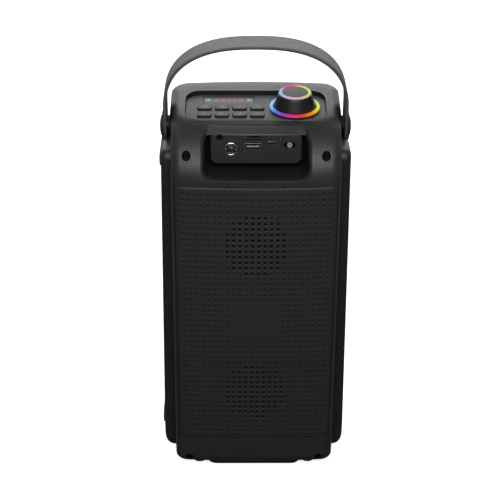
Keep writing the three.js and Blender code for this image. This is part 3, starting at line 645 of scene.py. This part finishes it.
def front_shell():
    shell = cabinet("front_shell_skin", FRONT_HALF, FRONT_SIDE_R, SHELL)
    cut(shell, cabinet("inside", FRONT_HALF, FRONT_SIDE_R, BLACK, -WALL, -5))
    keep(shell, half_space(-1))
    for side in (1, -1):
        boss = turn([(8, side * 58), (8, side * 70.2)], "x", (0, PIVOT_Z), 40)
        weld(shell, loft("boss", boss, BLACK))
    low, high = GRILLE["bottom"] - GAP, GRILLE["top"] + GAP
    mouth = surface_cutter("mouth", (2 * GRILLE["half"] + 2 * GAP, high - low), GRILLE["corner"],
                           (0, (low + high) / 2), front_y, -1, -51, 2.0, 30)
    cut(shell, mouth, panel_well())
    for side in (1, -1):
        cut(shell, loft("bore", turn([(4.1, side * 57), (4.1, side * 80)], "x", (0, PIVOT_Z), 32), BLACK))
    return fit(shell, "front_shell")


# ---------------------------------------------------------------- perforated sheets
def cell_border(low, high):
    """Twelve points round a cell: its corners and two along each side."""
    corners = [(high[0], high[1]), (low[0], high[1]), (low[0], low[1]), (high[0], low[1])]
    points = []
    for here, after in zip(corners, corners[1:] + corners[:1]):
        for third in range(3):
            points.append([here[k] + (after[k] - here[k]) * third / 3 for k in (0, 1)])
    return np.array(points)


def perforated(name, xs, zs, kind, surface, sign, thick, holes, material, lip=0.45):
    """A curved sheet of cells; kind(i, j) names each cell's hole profile, or gives None."""
    angles = math.pi / 4 + np.arange(12) * math.pi / 6
    circle = np.stack([np.cos(angles), np.sin(angles)], 1)
    points, faces = [], []

    def add(flat, depth):
        start = len(points)
        points.extend((x, z, depth) for x, z in flat)
        return list(range(start, start + len(flat)))

    def bridge(first, second):
        for i in range(len(first)):
            j = (i + 1) % len(first)
            faces.append((first[i], first[j], second[j], second[i]))

    for i in range(len(xs) - 1):
        for j in range(len(zs) - 1):
            border = cell_border((xs[i], zs[j]), (xs[i + 1], zs[j + 1]))
            front, back = add(border, 0), add(border, thick)
            hole = kind(i, j)
            if hole is None:
                faces.append(tuple(front))
                faces.append(tuple(back))
            else:
                centre = np.array([(xs[i] + xs[i + 1]) / 2, (zs[j] + zs[j + 1]) / 2])
                ring = front
                for radius, depth in holes[hole]:
                    following = add(centre + circle * radius, depth)
                    bridge(ring, following)
                    ring = following
                if hole == "open":
                    bridge(ring, back)
                else:
                    faces.append(tuple(ring))
                    faces.append(tuple(back))
            for at_edge, which in ((i == len(xs) - 2, (9, 10, 11, 0)), (i == 0, (3, 4, 5, 6)),
                                   (j == len(zs) - 2, (0, 1, 2, 3)), (j == 0, (6, 7, 8, 9))):
                if at_edge:
                    faces.extend((front[a], front[b], back[b], back[a]) for a, b in zip(which, which[1:]))
    raw = np.round(np.array(points), 4)
    unique, index = np.unique(raw, axis=0, return_inverse=True)
    index = index.reshape(-1)
    x, z, depth = unique.T
    rim = (x == x.min()) | (x == x.max()) | (z == z.min()) | (z == z.max())
    depth = depth + np.where(rim & (depth == 0), lip, 0)
    place = np.stack([x, surface(x, z) - sign * depth, z], 1)
    return mesh_piece(name, place, [tuple(index[list(face)]) for face in faces], [material])


def vent_cells():
    """Which cells of the vent grid are open, dimpled or blank."""
    kinds = {}
    for row in range(VENT["rows"]):
        for column in range(VENT["columns"]):
            blank = row in LABEL_ROWS and column in LABEL_COLUMNS
            kinds[column, row] = None if blank else "dimple"
    for first in CLUSTER_FIRST_ROWS:
        for i, count in enumerate(CLUSTER_COUNTS):
            for k in range(count):
                kinds[VENT["columns"] // 2 - count // 2 + k, first + i] = "open"
    return kinds


def vent_panel():
    pitch, half = VENT["pitch"], VENT["half"] - GAP
    low, high = VENT["bottom"] + GAP, VENT["top"] - GAP
    inner_x = (np.arange(VENT["columns"] + 1) - VENT["columns"] / 2) * pitch
    xs = [-half, -half + 0.5, *inner_x, half - 0.5, half]
    inner_z = VENT_TOP_Z + pitch / 2 - np.arange(VENT["rows"], -1, -1) * pitch
    inner_z[0] = low + 0.5
    zs = [low, *inner_z, high - 0.5, high]
    kinds = vent_cells()
    holes = {
        "open": [(1.45, 0), (1.32, 0.08), (1.2, 0.35), (1.15, VENT["wall"])],
        "dimple": [(1.25, 0), (1.15, 0.15), (1.1, 1.2), (0.7, 1.4)],
    }
    panel = perforated(
        "rear_vent_skin", xs, zs, lambda i, j: kinds.get((i - 2, VENT["rows"] - j)), rear_y, 1,
        VENT["wall"], holes, SHELL)
    # Painted shade: the walls and floors of the dimples and holes, sunk over 0.4 mm, take the darker side
    # plastic.
    panel.data.materials.append(SIDE)
    middles = np.zeros(3 * len(panel.data.polygons))
    panel.data.polygons.foreach_get("center", middles)
    x, y, z = middles.reshape(-1, 3).T / MM
    sunk = rear_y(x, z) - y
    inside = (sunk > 0.4) & (np.abs(x) < inner_x[-1]) & (z < inner_z[-1]) & (z > inner_z[0])
    panel.data.polygons.foreach_set("material_index", inside.astype(int))
    return fit(panel, "rear_vent_panel", angle=50)


def front_grille():
    half, low, high, pitch = GRILLE["half"], GRILLE["bottom"], GRILLE["top"], GRILLE["pitch"]
    columns = int(2 * (half - 3) / pitch)
    rows = int((high - low - 6) / pitch)
    xs = (np.arange(columns + 1) - columns / 2) * pitch
    zs = (low + high) / 2 + (np.arange(rows + 1) - rows / 2) * pitch
    xs = [-half - 2, *xs, half + 2]
    zs = [low - 2, *zs, high + 2]
    reach = np.array([half, (high - low) / 2]) - GRILLE["corner"]

    def kind(i, j):
        if i in (0, columns + 1) or j in (0, rows + 1):
            return None
        centre = np.array([(xs[i] + xs[i + 1]) / 2, (zs[j] + zs[j + 1]) / 2 - (low + high) / 2])
        past = np.maximum(np.abs(centre) - reach, 0)
        return "open" if np.linalg.norm(past) < GRILLE["corner"] - 3 else None

    holes = {"open": [(1.2, 0), (1.08, 0.12), (1.05, GRILLE["thick"])]}

    def skin(x, z):
        return front_y(x, z) + 0.4

    sheet = perforated("front_grille_mesh", xs, zs, kind, skin, -1, GRILLE["thick"], holes, GRILLE_PAINT)
    keep(sheet, loft("grille_outline", slab((2 * half, high - low), GRILLE["corner"],
                                            (0, (low + high) / 2), (-90, -30), "y", steps=1), BLACK))
    return fit(sheet, "front_grille", angle=50)


# ---------------------------------------------------------------- sides and feet
def side_panel(side):
    """A long cover with rounded edges, deeper at its foot, and a notch round the strap's tail."""
    name = "side_panel_left" if side > 0 else "side_panel_right"
    bottom, top, core = SIDE_COVER["bottom"], SIDE_COVER["top"], SIDE_COVER["core"]
    rear, front, end_r = SIDE_COVER["rear"], SIDE_COVER["front"], SIDE_COVER["end_r"]
    low = bottom + 12 * (1 - np.cos(np.linspace(0, math.pi / 2, 11)))
    high = top - 9 * (1 - np.cos(np.linspace(math.pi / 2, 0, 11)))
    middle = np.linspace(low[-1], high[0], 24)[1:-1]
    rings = []
    for z in np.concatenate([low, middle, high]):
        ends = rounding(end_r, z - bottom) + rounding(end_r, top - z)
        x = (SIDE_COVER["outer"] + SIDE_COVER["lean"] * (top - z) / (top - bottom)
             - rounding(SIDE_COVER["foot_r"], z - bottom) * SIDE_COVER["foot_share"]
             - rounding(SIDE_COVER["top_r"], top - z))
        flat = outline(2 * (x - core), rear - front - 2 * ends, SIDE_COVER["corner"],
                       (core, (rear + front) / 2), 8, 10)
        rings.append(stand(flat, z, "z") * (side, 1, 1))
    panel = loft(name + "_skin", rings, SIDE)
    rear_form = keep(cabinet("form", REAR_HALF, REAR_SIDE_R, BLACK, GAP),
                     block("space", (-FAR, SEAM_Y - 1, -FAR), (FAR, FAR, 2 * FAR), BLACK))
    front_form = keep(cabinet("form", FRONT_HALF, FRONT_SIDE_R, BLACK, GAP),
                      block("space", (-FAR, -FAR, -FAR), (FAR, SEAM_Y + GAP, 2 * FAR), BLACK))
    cut(panel, rear_form, front_form)
    radius, begin, swell = NOTCH["radius"], NOTCH["flare_from"], NOTCH["flare"]
    flare = [(radius, 0), (radius, begin)] + [
        (radius + swell * (1 - math.cos(a)), begin + swell * math.sin(a)) for a in np.linspace(0, 1.4, 8)[1:]]
    flare.append(NOTCH["mouth"])
    near, beyond = sorted((-side * FAR, side * NOTCH["floor"]))
    cut(panel, loft("notch", turn([(r, side * x) for r, x in flare], "x", (0, PIVOT_Z), 96), BLACK),
        block("rest", (near, -FAR, -FAR), (beyond, FAR, 2 * FAR), BLACK))
    return fit(panel, name)


def base_parts():
    low, high = node_box("base_plate")
    size, centre = (high - low)[:2], ((high + low) / 2)[:2]
    plate = slab(size, 8, centre, (low[2], high[2]), "z", (0.8, 0.4), side_steps=1)
    fit(loft("base_plate_skin", plate, BLACK), "base_plate")
    for place in ("rear_left", "rear_right", "front_left", "front_right"):
        low, high = node_box("base_foot_" + place)
        centre, radius = ((low + high) / 2)[:2], (high[0] - low[0]) / 2
        profile = soften([(0, 0), (radius - 2.6, 0), (radius - 2.8, 0.5), (radius - 1.8, 0.5),
                          (radius - 1.6, 0), (radius - 0.7, 0), (radius, high[2] - 1), (radius, high[2]),
                          (0, high[2])], 0.35)
        fit(loft("foot_" + place, turn(profile, "z", centre, 48), RUBBER), "base_foot_" + place)
    for place in ("upper", "lower"):
        low, high = node_box("side_foot_" + place)
        size, centre = (high - low)[1:], ((low + high) / 2)[1:]
        strip = slab(size, size[1] / 2 - 0.1, centre, (low[0], high[0]), "x", (0, 1.3), 6)
        fit(loft("strip_" + place, strip, RUBBER), "side_foot_" + place)


# ---------------------------------------------------------------- drivers behind the grille
def driver(place):
    z = node_centre("driver_cone_" + place)[2]
    centre = (0, z)
    rim = node_box("driver_basket_" + place)[0][1]
    edge = -51.5
    cone = soften([(0, edge + 9), (4, edge + 9.2), (9, edge + 10.8), (13, edge + 13.5), (14.5, edge + 13),
                   (39.4, edge), (39.4, edge + 1), (13, edge + 15), (12, edge + 15), (12, edge + 23),
                   (11.2, edge + 23), (11.2, edge + 14.5), (6, edge + 11), (0, edge + 10)], 0.6)
    fit(loft("cone_" + place, turn(cone, "y", centre, 96), PAPER), "driver_cone_" + place)
    arc = np.linspace(0, math.pi, 13)
    roll = [(42.9 - 3.1 * math.cos(a), edge - 2 * math.sin(a)) for a in arc]
    roll += [(r, y + 0.8) for r, y in roll[::-1]]
    fit(loft("surround_" + place, turn(roll, "y", centre, 96), RUBBER, closed=True),
        "driver_surround_" + place)
    inner, outer = 52.6, 56.4
    ring = soften([(inner, -53), (outer, -53), (outer, rim), (inner, rim), (inner, -53)], 0.8)[:-1]
    glow = glow_wheel("light_ring_glow_" + place, (0, 0), DIM_WHEEL, 0.12)
    fit(loft("front_ring_" + place, turn(ring, "y", centre, 96), glow, closed=True), "light_ring_" + place)


# ---------------------------------------------------------------- controls
def control_panel():
    size = (PANEL["width"], PANEL["length"])
    panel = loft("control_panel_skin", slab(size, PANEL["corner"], (0, 0), (-PANEL["thick"], 0), "z",
                                            (0, 0.35)), PANEL_TOP)
    for x, y in KEY_PLACES:
        cut(panel, loft("hole", slab((11.4, 8.2), 1.8, (x, y), (-10, 10), "z", steps=1), BLACK))
    low, high = -DISPLAY["size"] / 2, DISPLAY["size"] / 2
    cut(panel, block("window", (*(DISPLAY["centre"] + low), -10), (*(DISPLAY["centre"] + high), 10), BLACK),
        loft("shaft", turn([(3.6, -10), (3.6, 10)], "z", KNOB_PLACE, 40), BLACK))
    return fit(tilt(panel), "control_panel")


def flat_mark(name, points, height, material, thick=0.035):
    """A thin printed or lit shape on a level face."""
    flat = np.array(points)
    return loft(name, [stand(flat, height, "z"), stand(flat, height + thick, "z")], material)


def dash(x, y, width, length, height, material):
    return flat_mark("dash", outline(width, length, min(width, length) / 2.2, (x, y), 3), height, material)


def arrow(x, y, size, height, material, way=1):
    half = size * 0.5
    points = [(x + way * half, y - half), (x - way * half, y), (x + way * half, y + half)]
    return flat_mark("arrow", points, height, material)


def key_marks(number, x, y, height):
    """Plain transport, level and mode signs, one set to a key."""
    mark = PRINT
    signs = {
        1: lambda: [dash(x, y, 2.6, 0.5, height, mark), dash(x, y, 0.5, 2.6, height, mark)],
        2: lambda: [arrow(x + 0.9, y, 1.7, height, mark, 1), arrow(x - 0.9, y, 1.7, height, mark, 1)],
        3: lambda: [arrow(x + 1, y, 2.1, height, mark, -1), dash(x - 0.9, y, 0.5, 2.1, height, mark),
                    dash(x - 1.9, y, 0.5, 2.1, height, mark)],
        4: lambda: [dash(x, y, 2.6, 0.5, height, mark)],
        5: lambda: [dash(x + k, y, 0.5, 1 + 0.6 * abs(k), height, mark) for k in (-1.6, -0.8, 0, 0.8, 1.6)],
        6: lambda: [arrow(x + 0.9, y, 1.7, height, mark, -1), arrow(x - 0.9, y, 1.7, height, mark, -1)],
        7: lambda: [dash(x, y + k, 2.4, 0.4, height, mark) for k in (-0.9, 0, 0.9)],
        8: lambda: [dash(x + k, y, 0.8, 0.8, height, mark) for k in (-1.3, 0, 1.3)],
    }
    return signs[number]()


def keys():
    for number, (x, y) in enumerate(KEY_PLACES, 1):
        rings = slab((10.8, 7.6), 1.8, (x, y), (-4, 1.75), "z", (0, 0.45), 5)
        # Painted shade: the key's sides and underside are near-black; only its top and rounded top edge take
        # the panel plastic.
        bands = [1] * (len(rings) - 1)
        bands[-3:] = [0] * 3
        cap = loft("cap", rings, [PANEL_TOP, BLACK], bands=bands)
        low_face = max(cap.data.polygons, key=lambda face: -face.center.z)
        low_face.material_index = 1
        key = merge(f"key_cap_{number}", cap, *key_marks(number, x, y, 1.73))
        fit(tilt(key), f"button_{number}")


def panel_prints():
    """Faint marks on the panel behind each key, as small dashes of different lengths."""
    marks = []
    for number, (x, y) in enumerate(KEY_PLACES):
        for k, width in enumerate((1.5, 1.0, 1.3) if number % 2 else (1.1, 1.7, 0.8)):
            marks.append(dash(x + (1 - k) * 1.9, y - 5.35, width, 0.45, -0.01, PRINT))
    fit(tilt(merge("panel_prints", *marks)), on="control_panel")


def digit_segments(x, y, height):
    """All seven segments of one display digit."""
    bars = []
    for k in (-1, 0, 1):
        bars.append(dash(x, y + 1.9 * k, 2.0, 0.5, height, RED_DIGIT))
    for sx in (-1, 1):
        for sy in (-1, 1):
            bars.append(dash(x + 1.35 * sx, y + 0.95 * sy, 0.5, 1.4, height, RED_DIGIT))
    return bars


def display():
    centre, size = DISPLAY["centre"], DISPLAY["size"]
    window = loft("display_glass", slab(size - 2 * GAP, 0.5, centre, (-1.5, -0.12), "z", (0, 0.15)), GLASS)
    fit(tilt(window), "display_window")
    x, y = centre
    height = -0.13
    marks = []
    for k in (-9, -4.2, 0.6, 5.4, 10.2):
        marks += digit_segments(x + k - 0.6, y, height)
    for side in (1, -1):
        marks.append(arrow(x + side * 15.2, y, 3.2, height, GREEN_MARK, side))
        marks.append(dash(x + side * 17.6, y, 0.7, 3.4, height, GREEN_MARK))
    fit(tilt(merge("display_marks", *marks)), on="display_window")


def knob():
    body = soften([(0, 11), (3.3, 11), (3.3, 0.6), (15.8, 0.6), (16.6, 1), (16.6, 2.4), (13.3, 13.4),
                   (12.9, 14), (0, 14)], 0.5)
    fit(tilt(loft("knob_cone", turn(body, "z", KNOB_PLACE, 128), KNOB)), "knob_body")
    cap = soften([(0, 14.3), (9.9, 14.3), (9.9, 15.3), (0, 15.8)], 0.5)
    fit(tilt(loft("knob_disc", turn(cap, "z", KNOB_PLACE, 96), PANEL_TOP)), "knob_cap")
    top = soften([(10.2, 14.3), (12.7, 14.3), (12.6, 15), (11.9, 15.7), (10.9, 15.7), (10.2, 15.3),
                  (10.2, 14.3)], 0.4)[:-1]
    fit(tilt(loft("knob_upper_ring", turn(top, "z", KNOB_PLACE, 128), TOP_GLOW, closed=True)),
        "knob_top_ring")
    base = soften([(17.4, 2), (19.7, 2), (20, 2.5), (19.7, 3.3), (18.6, 4), (17.4, 4), (17.4, 2)], 0.3)[:-1]
    collar = [(17, 0.3), (19.4, 0.3), (19.4, 2.1), (17, 2.1)]
    ring = merge("knob_lower_ring", loft("glow", turn(base, "z", KNOB_PLACE, 128), BASE_GLOW, closed=True),
                 loft("collar", turn(collar, "z", KNOB_PLACE, 128), BLACK, closed=True))
    fit(tilt(ring), "knob_base_ring")


# ---------------------------------------------------------------- ports
def port(node):
    """A port's middle in XZ, its size there and its face's place in Y."""
    low, high = node_box(node)
    return ((low + high) / 2)[[0, 2]], (high - low)[[0, 2]], high[1]


def port_housing():
    face, bottom, top = PORT_BLOCK["face"], PORT_BLOCK["bottom"], PORT_BLOCK["top"]
    housing = loft("port_block", slab((2 * PORT_BLOCK["half"], top - bottom), PORT_BLOCK["corner"],
                                      (0, (top + bottom) / 2), (PORT_BLOCK["back"], face), "y", (0, 1.5), 6),
                   SHELL)
    for node, corner in (("card_slot", 0.4), ("usb_port", 0.9), ("micro_usb_port", 1.2)):
        centre, size = port(node)[:2]
        cut(housing, loft("hole", slab(size + 2 * GAP, corner, centre, (0, 60), "y", steps=1), BLACK))
    for node in ("mic_jack", "aux_jack", "charge_led"):
        centre, size = port(node)[:2]
        radius = size[0] / 2 + 0.15
        profile = [(radius, 0), (radius, face - 0.35), (radius + 0.35, face + 0.01), (radius + 0.35, 60)]
        cut(housing, loft("hole", turn(profile, "y", centre, 64), BLACK))
    x, z = port("switch_slider")[0]
    seat = node_box("switch_slider")[0][1]
    cut(housing, block("seat", (x - 6.8, 0, z - 4.5), (x + 6.8, seat, z + 4.5), BLACK),
        loft("slot", slab((8.8, 5.4), 2.6, (x, z), (0, 60), "y", steps=1), BLACK))
    x, z = port("card_slot")[0]
    scoop = [(6.3 * math.cos(a), 2.9 * math.sin(a)) for a in np.linspace(0.001, math.pi / 2 - 0.02, 12)]
    bowl = turn(scoop, "y", (0, 0), 48)
    bowl = loft("scoop", [ring * (1, -1, 0.46) + (x, face + 0.9, z + 0.6) for ring in bowl], BLACK)
    cut(bowl, block("below", (-FAR, 0, 0), (FAR, 90, z + 0.75), BLACK))
    cut(housing, bowl)
    return fit(merge("port_housing_skin", housing, brow()), "port_housing")


def brow():
    """The lip over the ports: a shallow swell of the shoulder that ends in a small step."""
    across = np.linspace(-1, 1, 61)
    ends = smooth(1 - np.abs(across), 0, 0.07)
    x = across * BROW_HALF

    def row(angle, swell):
        level = TOP_Z - SHOULDER_R + SHOULDER_R * math.sin(angle)
        reach = SHOULDER_R + swell * ends - 0.3 * (1 - ends)
        y = REAR_Y - SHOULDER_R + reach * math.cos(angle) - x ** 2 / (2 * REAR_BOW_R)
        z = TOP_Z - SHOULDER_R + reach * math.sin(angle)
        lift = TOP_SLOPE * smooth(level, TOP_Z - SHOULDER_R, TOP_Z)
        return np.stack([x, y, z + lift * (TOP_END_Y - y)], 1)

    angles = np.radians([60.5, 61.5, 63, 64.5, 66, 67.5, 69, 71, 73, 76])
    swells = (0.1, 0.25, 0.38, 0.45, 0.47, 0.44, 0.37, 0.24, 0.08, -0.3)
    rows = [row(angle, swell) for angle, swell in zip(angles, swells)]
    under = [rows[0] - (0, 0.35, 0.25), rows[0] - (0, 1.5, 0.3)]
    skin = under[::-1] + rows
    inner = [np.stack([r[:, 0], np.minimum(r[:, 1] - 0.9, 38), r[:, 2] - 0.2], 1) for r in skin[::-1]]
    loops = [np.array(column) for column in np.array(skin + inner).transpose(1, 0, 2)]
    return loft("brow", loops, BROW_PLASTIC)


def shell_socket(node, corner, rim, tongue, name, back=28):
    """A folded metal socket with its tongue."""
    centre, size, face = port(node)
    frame_part = loft("rim", slab(size, corner, centre, (27, face), "y", (0, 0.12), 2), DULL_STEEL)
    inner = size - 2 * rim
    cut(frame_part, loft("space", slab(inner, corner - rim, centre, (back, 60), "y", steps=1), BLACK))
    blade = loft("tongue", slab((inner[0] - 1.6, tongue), 0.3, centre, (back - 0.5, face - 0.7), "y",
                                (0, 0.2), 3), BLACK)
    liner = loft("liner", slab(inner - 0.05, corner - rim, centre, (back + 0.02, back + 0.4), "y", steps=1),
                 BLACK)
    return fit(merge(name, frame_part, blade, liner), node)


def pale_tongue():
    """The grey strip that faces out of the large socket."""
    centre, size, face = port("usb_port")
    strip = slab((size[0] - 3.2, 1.5), 0.3, centre, (face - 0.72, face - 0.55), "y", (0, 0.08), 2)
    fit(loft("usb_tongue_face", strip, PRINT), on="usb_port")


def jacks():
    (x, z), size, face = port("mic_jack")
    outer = size[0] / 2
    ring = soften([(0, 27), (outer, 27), (outer, face - 0.3), (outer - 0.35, face), (outer - 0.75, face),
                   (outer - 0.95, face - 0.35), (outer - 1.0, 33), (0, 33)], 0.12)
    fit(loft("mic_jack_ring", turn(ring, "y", (x, z), 96), CHROME), "mic_jack")
    inner = outer - 1.02
    tube = [(inner, 33.1), (inner, face - 0.8), (3.2, face - 0.95), (3.1, face - 1.4), (3.1, 33.1)]
    lining = loft("mic_lining", turn(tube, "y", (x, z), 64), BLACK, closed=True)
    blades = []
    for middle, spread_angle, deep in ((0, 17, 3.05), (180, 17, 3.05), (270, 37, 2.5)):
        angles = np.radians(np.linspace(middle - spread_angle, middle + spread_angle, 13))
        outside = np.stack([np.cos(angles), np.sin(angles)], 1) * (inner + 0.05)
        inside = np.stack([np.cos(angles), np.sin(angles)], 1)[::-1] * deep
        flat = np.concatenate([outside, inside]) + (x, z)
        blades.append(loft("blade", [stand(flat, face - 0.78, "y"), stand(flat, face - 0.5, "y")], CHROME))
    fit(merge("mic_jack_contacts", lining, *blades), on="mic_jack")
    (x, z), size, face = port("aux_jack")
    outer = size[0] / 2
    ring = soften([(0, 31), (outer, 31), (outer, face), (1.9, face), (1.75, face - 0.4), (1.75, 32.5),
                   (0, 32.5)], 0.15)
    fit(loft("aux_jack_barrel", turn(ring, "y", (x, z), 64), BLACK), "aux_jack")
    centre, size, face = port("card_slot")
    body = loft("card_body", slab(size, 0.3, centre, (27, face), "y", (0, 0.15), 2), SHELL)
    cut(body, loft("gap", slab((size[0] - 3.2, 1.1), 0.2, centre, (28, 60), "y", steps=1), BLACK))
    fit(body, "card_slot")
    (x, z), size, face = port("charge_led")
    lens = soften([(0, 34), (size[0] / 2, 34), (size[0] / 2, face - 0.35), (0.3, face)], 0.3)
    fit(loft("charge_lens", turn(lens, "y", (x, z), 32), RED_LED), "charge_led")
    (x, z), size, face = port("switch_slider")
    radius = size[0] / 2
    low = node_box("switch_slider")[0][1]
    thumb = soften([(0, low), (radius, low), (radius, face - 0.4), (radius - 0.4, face), (1.1, face),
                    (0.9, face - 0.25), (0, face - 0.3)], 0.2)
    fit(loft("thumb", turn(thumb, "y", (x, z), 48), PRINT), "switch_slider")


# ---------------------------------------------------------------- handle
def strap_curve():
    """The strap's middle line from one tail over the top to the other, with its outward normals."""
    half, spring, rise, power = STRAP_ARCH.values()
    straight = np.concatenate([
        PIVOT_Z - TAIL_R * np.cos(np.linspace(0.12, math.pi / 2, 10)), np.linspace(PIVOT_Z, spring, 6)[1:-1]])
    angle = np.linspace(0, math.pi / 2, 60)
    x = half * np.cos(angle) ** (2 / power)
    z = spring + rise * np.sin(angle) ** (2 / power)
    side = np.concatenate([np.stack([np.full_like(straight, half), straight], 1), np.stack([x, z], 1)])
    path = np.concatenate([side, side[::-1][1:] * (-1, 1)])
    step = np.gradient(path, axis=0)
    normal = np.stack([step[:, 1], -step[:, 0]], 1)
    normal /= np.linalg.norm(normal, axis=1)[:, None]
    return path, normal


def strap():
    path, normal = strap_curve()
    section = outline(*STRAP_BAND.values(), corner_steps=4, side_steps=8)
    rings = []
    for (x, z), (nx, nz) in zip(path, normal):
        drop = max(0.0, PIVOT_Z - z)
        wide = math.sqrt(max(TAIL_R ** 2 - drop ** 2, 0.8)) / TAIL_R
        across, out = section[:, 0] * wide, section[:, 1]
        rings.append(np.stack([x + nx * out, across, z + nz * out], 1))
    return fit(loft("handle_strap_skin", rings, STRAP), "handle_strap", angle=40)


def strap_caps():
    for place, side in (("left", 1), ("right", -1)):
        arc = [(8.8 * math.cos(a), 74.6 + 2 * math.sin(a)) for a in np.linspace(0, math.pi / 2 - 0.05, 14)]
        profile = soften([(0, 73.6), (12, 73.6), (11.9, 74.2), (11.3, 74.6), (9.3, 74.6), (9.1, 74.35),
                          (8.9, 74.35)], 0.2) + arc
        rings = turn([(r, side * x) for r, x in profile], "x", (0, PIVOT_Z), 72)
        fit(loft("cap_" + place, rings, SIDE), "strap_cap_" + place)


def screw_heads():
    for place in ("left", "right"):
        node = "screw_" + place
        low, high = node_box(node)
        x, z = ((low + high) / 2)[[0, 2]]
        seat = high[1] - 2
        profile = soften([(0, low[1]), (1.5, low[1] + 1.5), (1.5, seat), (2.9, seat), (2.8, seat + 1.2),
                          (1.6, seat + 1.9), (0.2, seat + 2)], 0.3)
        head = loft("head", turn(profile, "y", (x, z), 32), BLACK)
        for wide, tall in ((3.0, 0.6), (0.6, 3.0)):
            cut(head, block("cross", (x - wide / 2, seat + 0.8, z - tall / 2),
                            (x + wide / 2, seat + 5, z + tall / 2), BLACK))
        fit(head, node)


# ---------------------------------------------------------------- kept CAD nodes
KEPT = {
    "front_baffle": BLACK, "driver_basket_upper": STEEL, "driver_basket_lower": STEEL,
    "driver_magnet_upper": FERRITE, "driver_magnet_lower": FERRITE, "display_module": BLACK,
    "button_board": BOARD, "encoder_body": STEEL, "encoder_shaft": STEEL, "switch_body": BLACK,
    "pivot_pin_left": STEEL, "pivot_pin_right": STEEL, "main_board": BOARD, "battery_pack": WRAP,
}


def dress_kept_nodes():
    for name, material in KEPT.items():
        mesh = frame["nodes"][name].data
        mesh.materials.clear()
        mesh.materials.append(material)


# ---------------------------------------------------------------- studio
def studio_camera():
    """The main view: from behind the speaker, 29 degrees down."""
    place = Vector((0.0149, 0.9355, 0.7002))
    forward = Vector((-0.0104, -0.8766, -0.4811)).normalized()
    right = forward.cross(Vector((0, 0, 1))).normalized()
    up = right.cross(forward)
    roll = math.radians(0.36)
    right, up = math.cos(roll) * right + math.sin(roll) * up, math.cos(roll) * up - math.sin(roll) * right
    data = bpy.data.cameras.new("camera")
    data.lens, data.sensor_width = 90.84, 36
    camera = bpy.data.objects.new("camera", data)
    bpy.context.scene.collection.objects.link(camera)
    camera.matrix_world = Matrix.Translation(place) @ Matrix((right, up, -forward)).transposed().to_4x4()
    bpy.context.scene.camera = camera


def studio_floor():
    material, tree, shader = new_material("pale_floor")
    set_inputs(tree, shader, Base_Color=(0.86, 0.86, 0.86, 1), Roughness=0.8, Specular_IOR_Level=0.1,
               Emission_Color=(1, 1, 1, 1), Emission_Strength=0.75)
    angles = np.linspace(0, 2 * math.pi, 64, endpoint=False)
    points = np.stack([8000 * np.cos(angles), 8000 * np.sin(angles), np.zeros(64)], 1)
    floor = mesh_piece("floor", points, [tuple(range(64))], [material])
    floor.visible_diffuse = False
    floor.visible_glossy = False


def softbox(name, place, target, size, power):
    data = bpy.data.lights.new(name, "AREA")
    data.shape, data.size, data.size_y, data.energy = "RECTANGLE", *size, power
    light = bpy.data.objects.new(name, data)
    bpy.context.scene.collection.objects.link(light)
    light.location = place
    light.rotation_euler = (Vector(target) - Vector(place)).to_track_quat("-Z", "Y").to_euler()
    light.visible_camera = False


def studio_world():
    """A white room, brighter beyond the grille, darker overhead, underneath and beyond the vents."""
    world = bpy.data.worlds.new("studio")
    bpy.context.scene.world = world
    world.use_nodes = True
    tree = world.node_tree
    place = add_node(tree, "TexCoord")
    axes = add_node(tree, "SeparateXYZ", Vector=(place, "Generated"))
    depth = add_node(tree, "MapRange", Value=(axes, 1), From_Min=-0.9, From_Max=-0.45, To_Min=1.6, To_Max=0.2)
    height = add_node(tree, "MapRange", Value=(axes, 2), From_Min=0.35, From_Max=0.9, To_Min=1, To_Max=0.1)
    low = add_node(tree, "MapRange", Value=(axes, 2), From_Min=-0.25, From_Max=0.02, To_Min=0.3, To_Max=1)
    upper = add_node(tree, "Math", operation="MULTIPLY", _0=(depth, 0), _1=(height, 0))
    both = add_node(tree, "Math", operation="MULTIPLY", _0=(upper, 0), _1=(low, 0))
    seen = add_node(tree, "LightPath")
    final = add_node(tree, "Mix", data_type="FLOAT", _0=(seen, "Is Camera Ray"), _2=(both, 0), _3=1.0)
    background = tree.nodes["Background"]
    background.inputs["Color"].default_value = (1, 1, 1, 1)
    tree.links.new(final.outputs[0], background.inputs["Strength"])


bpy.context.scene.view_settings.view_transform = "Standard"
studio_camera()
studio_floor()
studio_world()
softbox("rear_softbox", (0, 0.72, 0.88), (0, 0.04, 0.3), (0.9, 0.7), 11)
softbox("far_softbox", (0, -1.45, 1.75), (0, 0, 0.3), (2.4, 1.6), 34)

rear_shell()
front_shell()
vent_panel()
front_grille()
side_panel(1)
side_panel(-1)
base_parts()
driver("upper")
driver("lower")
control_panel()
panel_prints()
keys()
display()
knob()
port_housing()
shell_socket("usb_port", 0.8, 0.5, 1.8, "usb_socket")
shell_socket("micro_usb_port", 1.2, 0.4, 0.7, "micro_usb_socket")
pale_tongue()
jacks()
strap()
strap_caps()
screw_heads()
dress_kept_nodes()
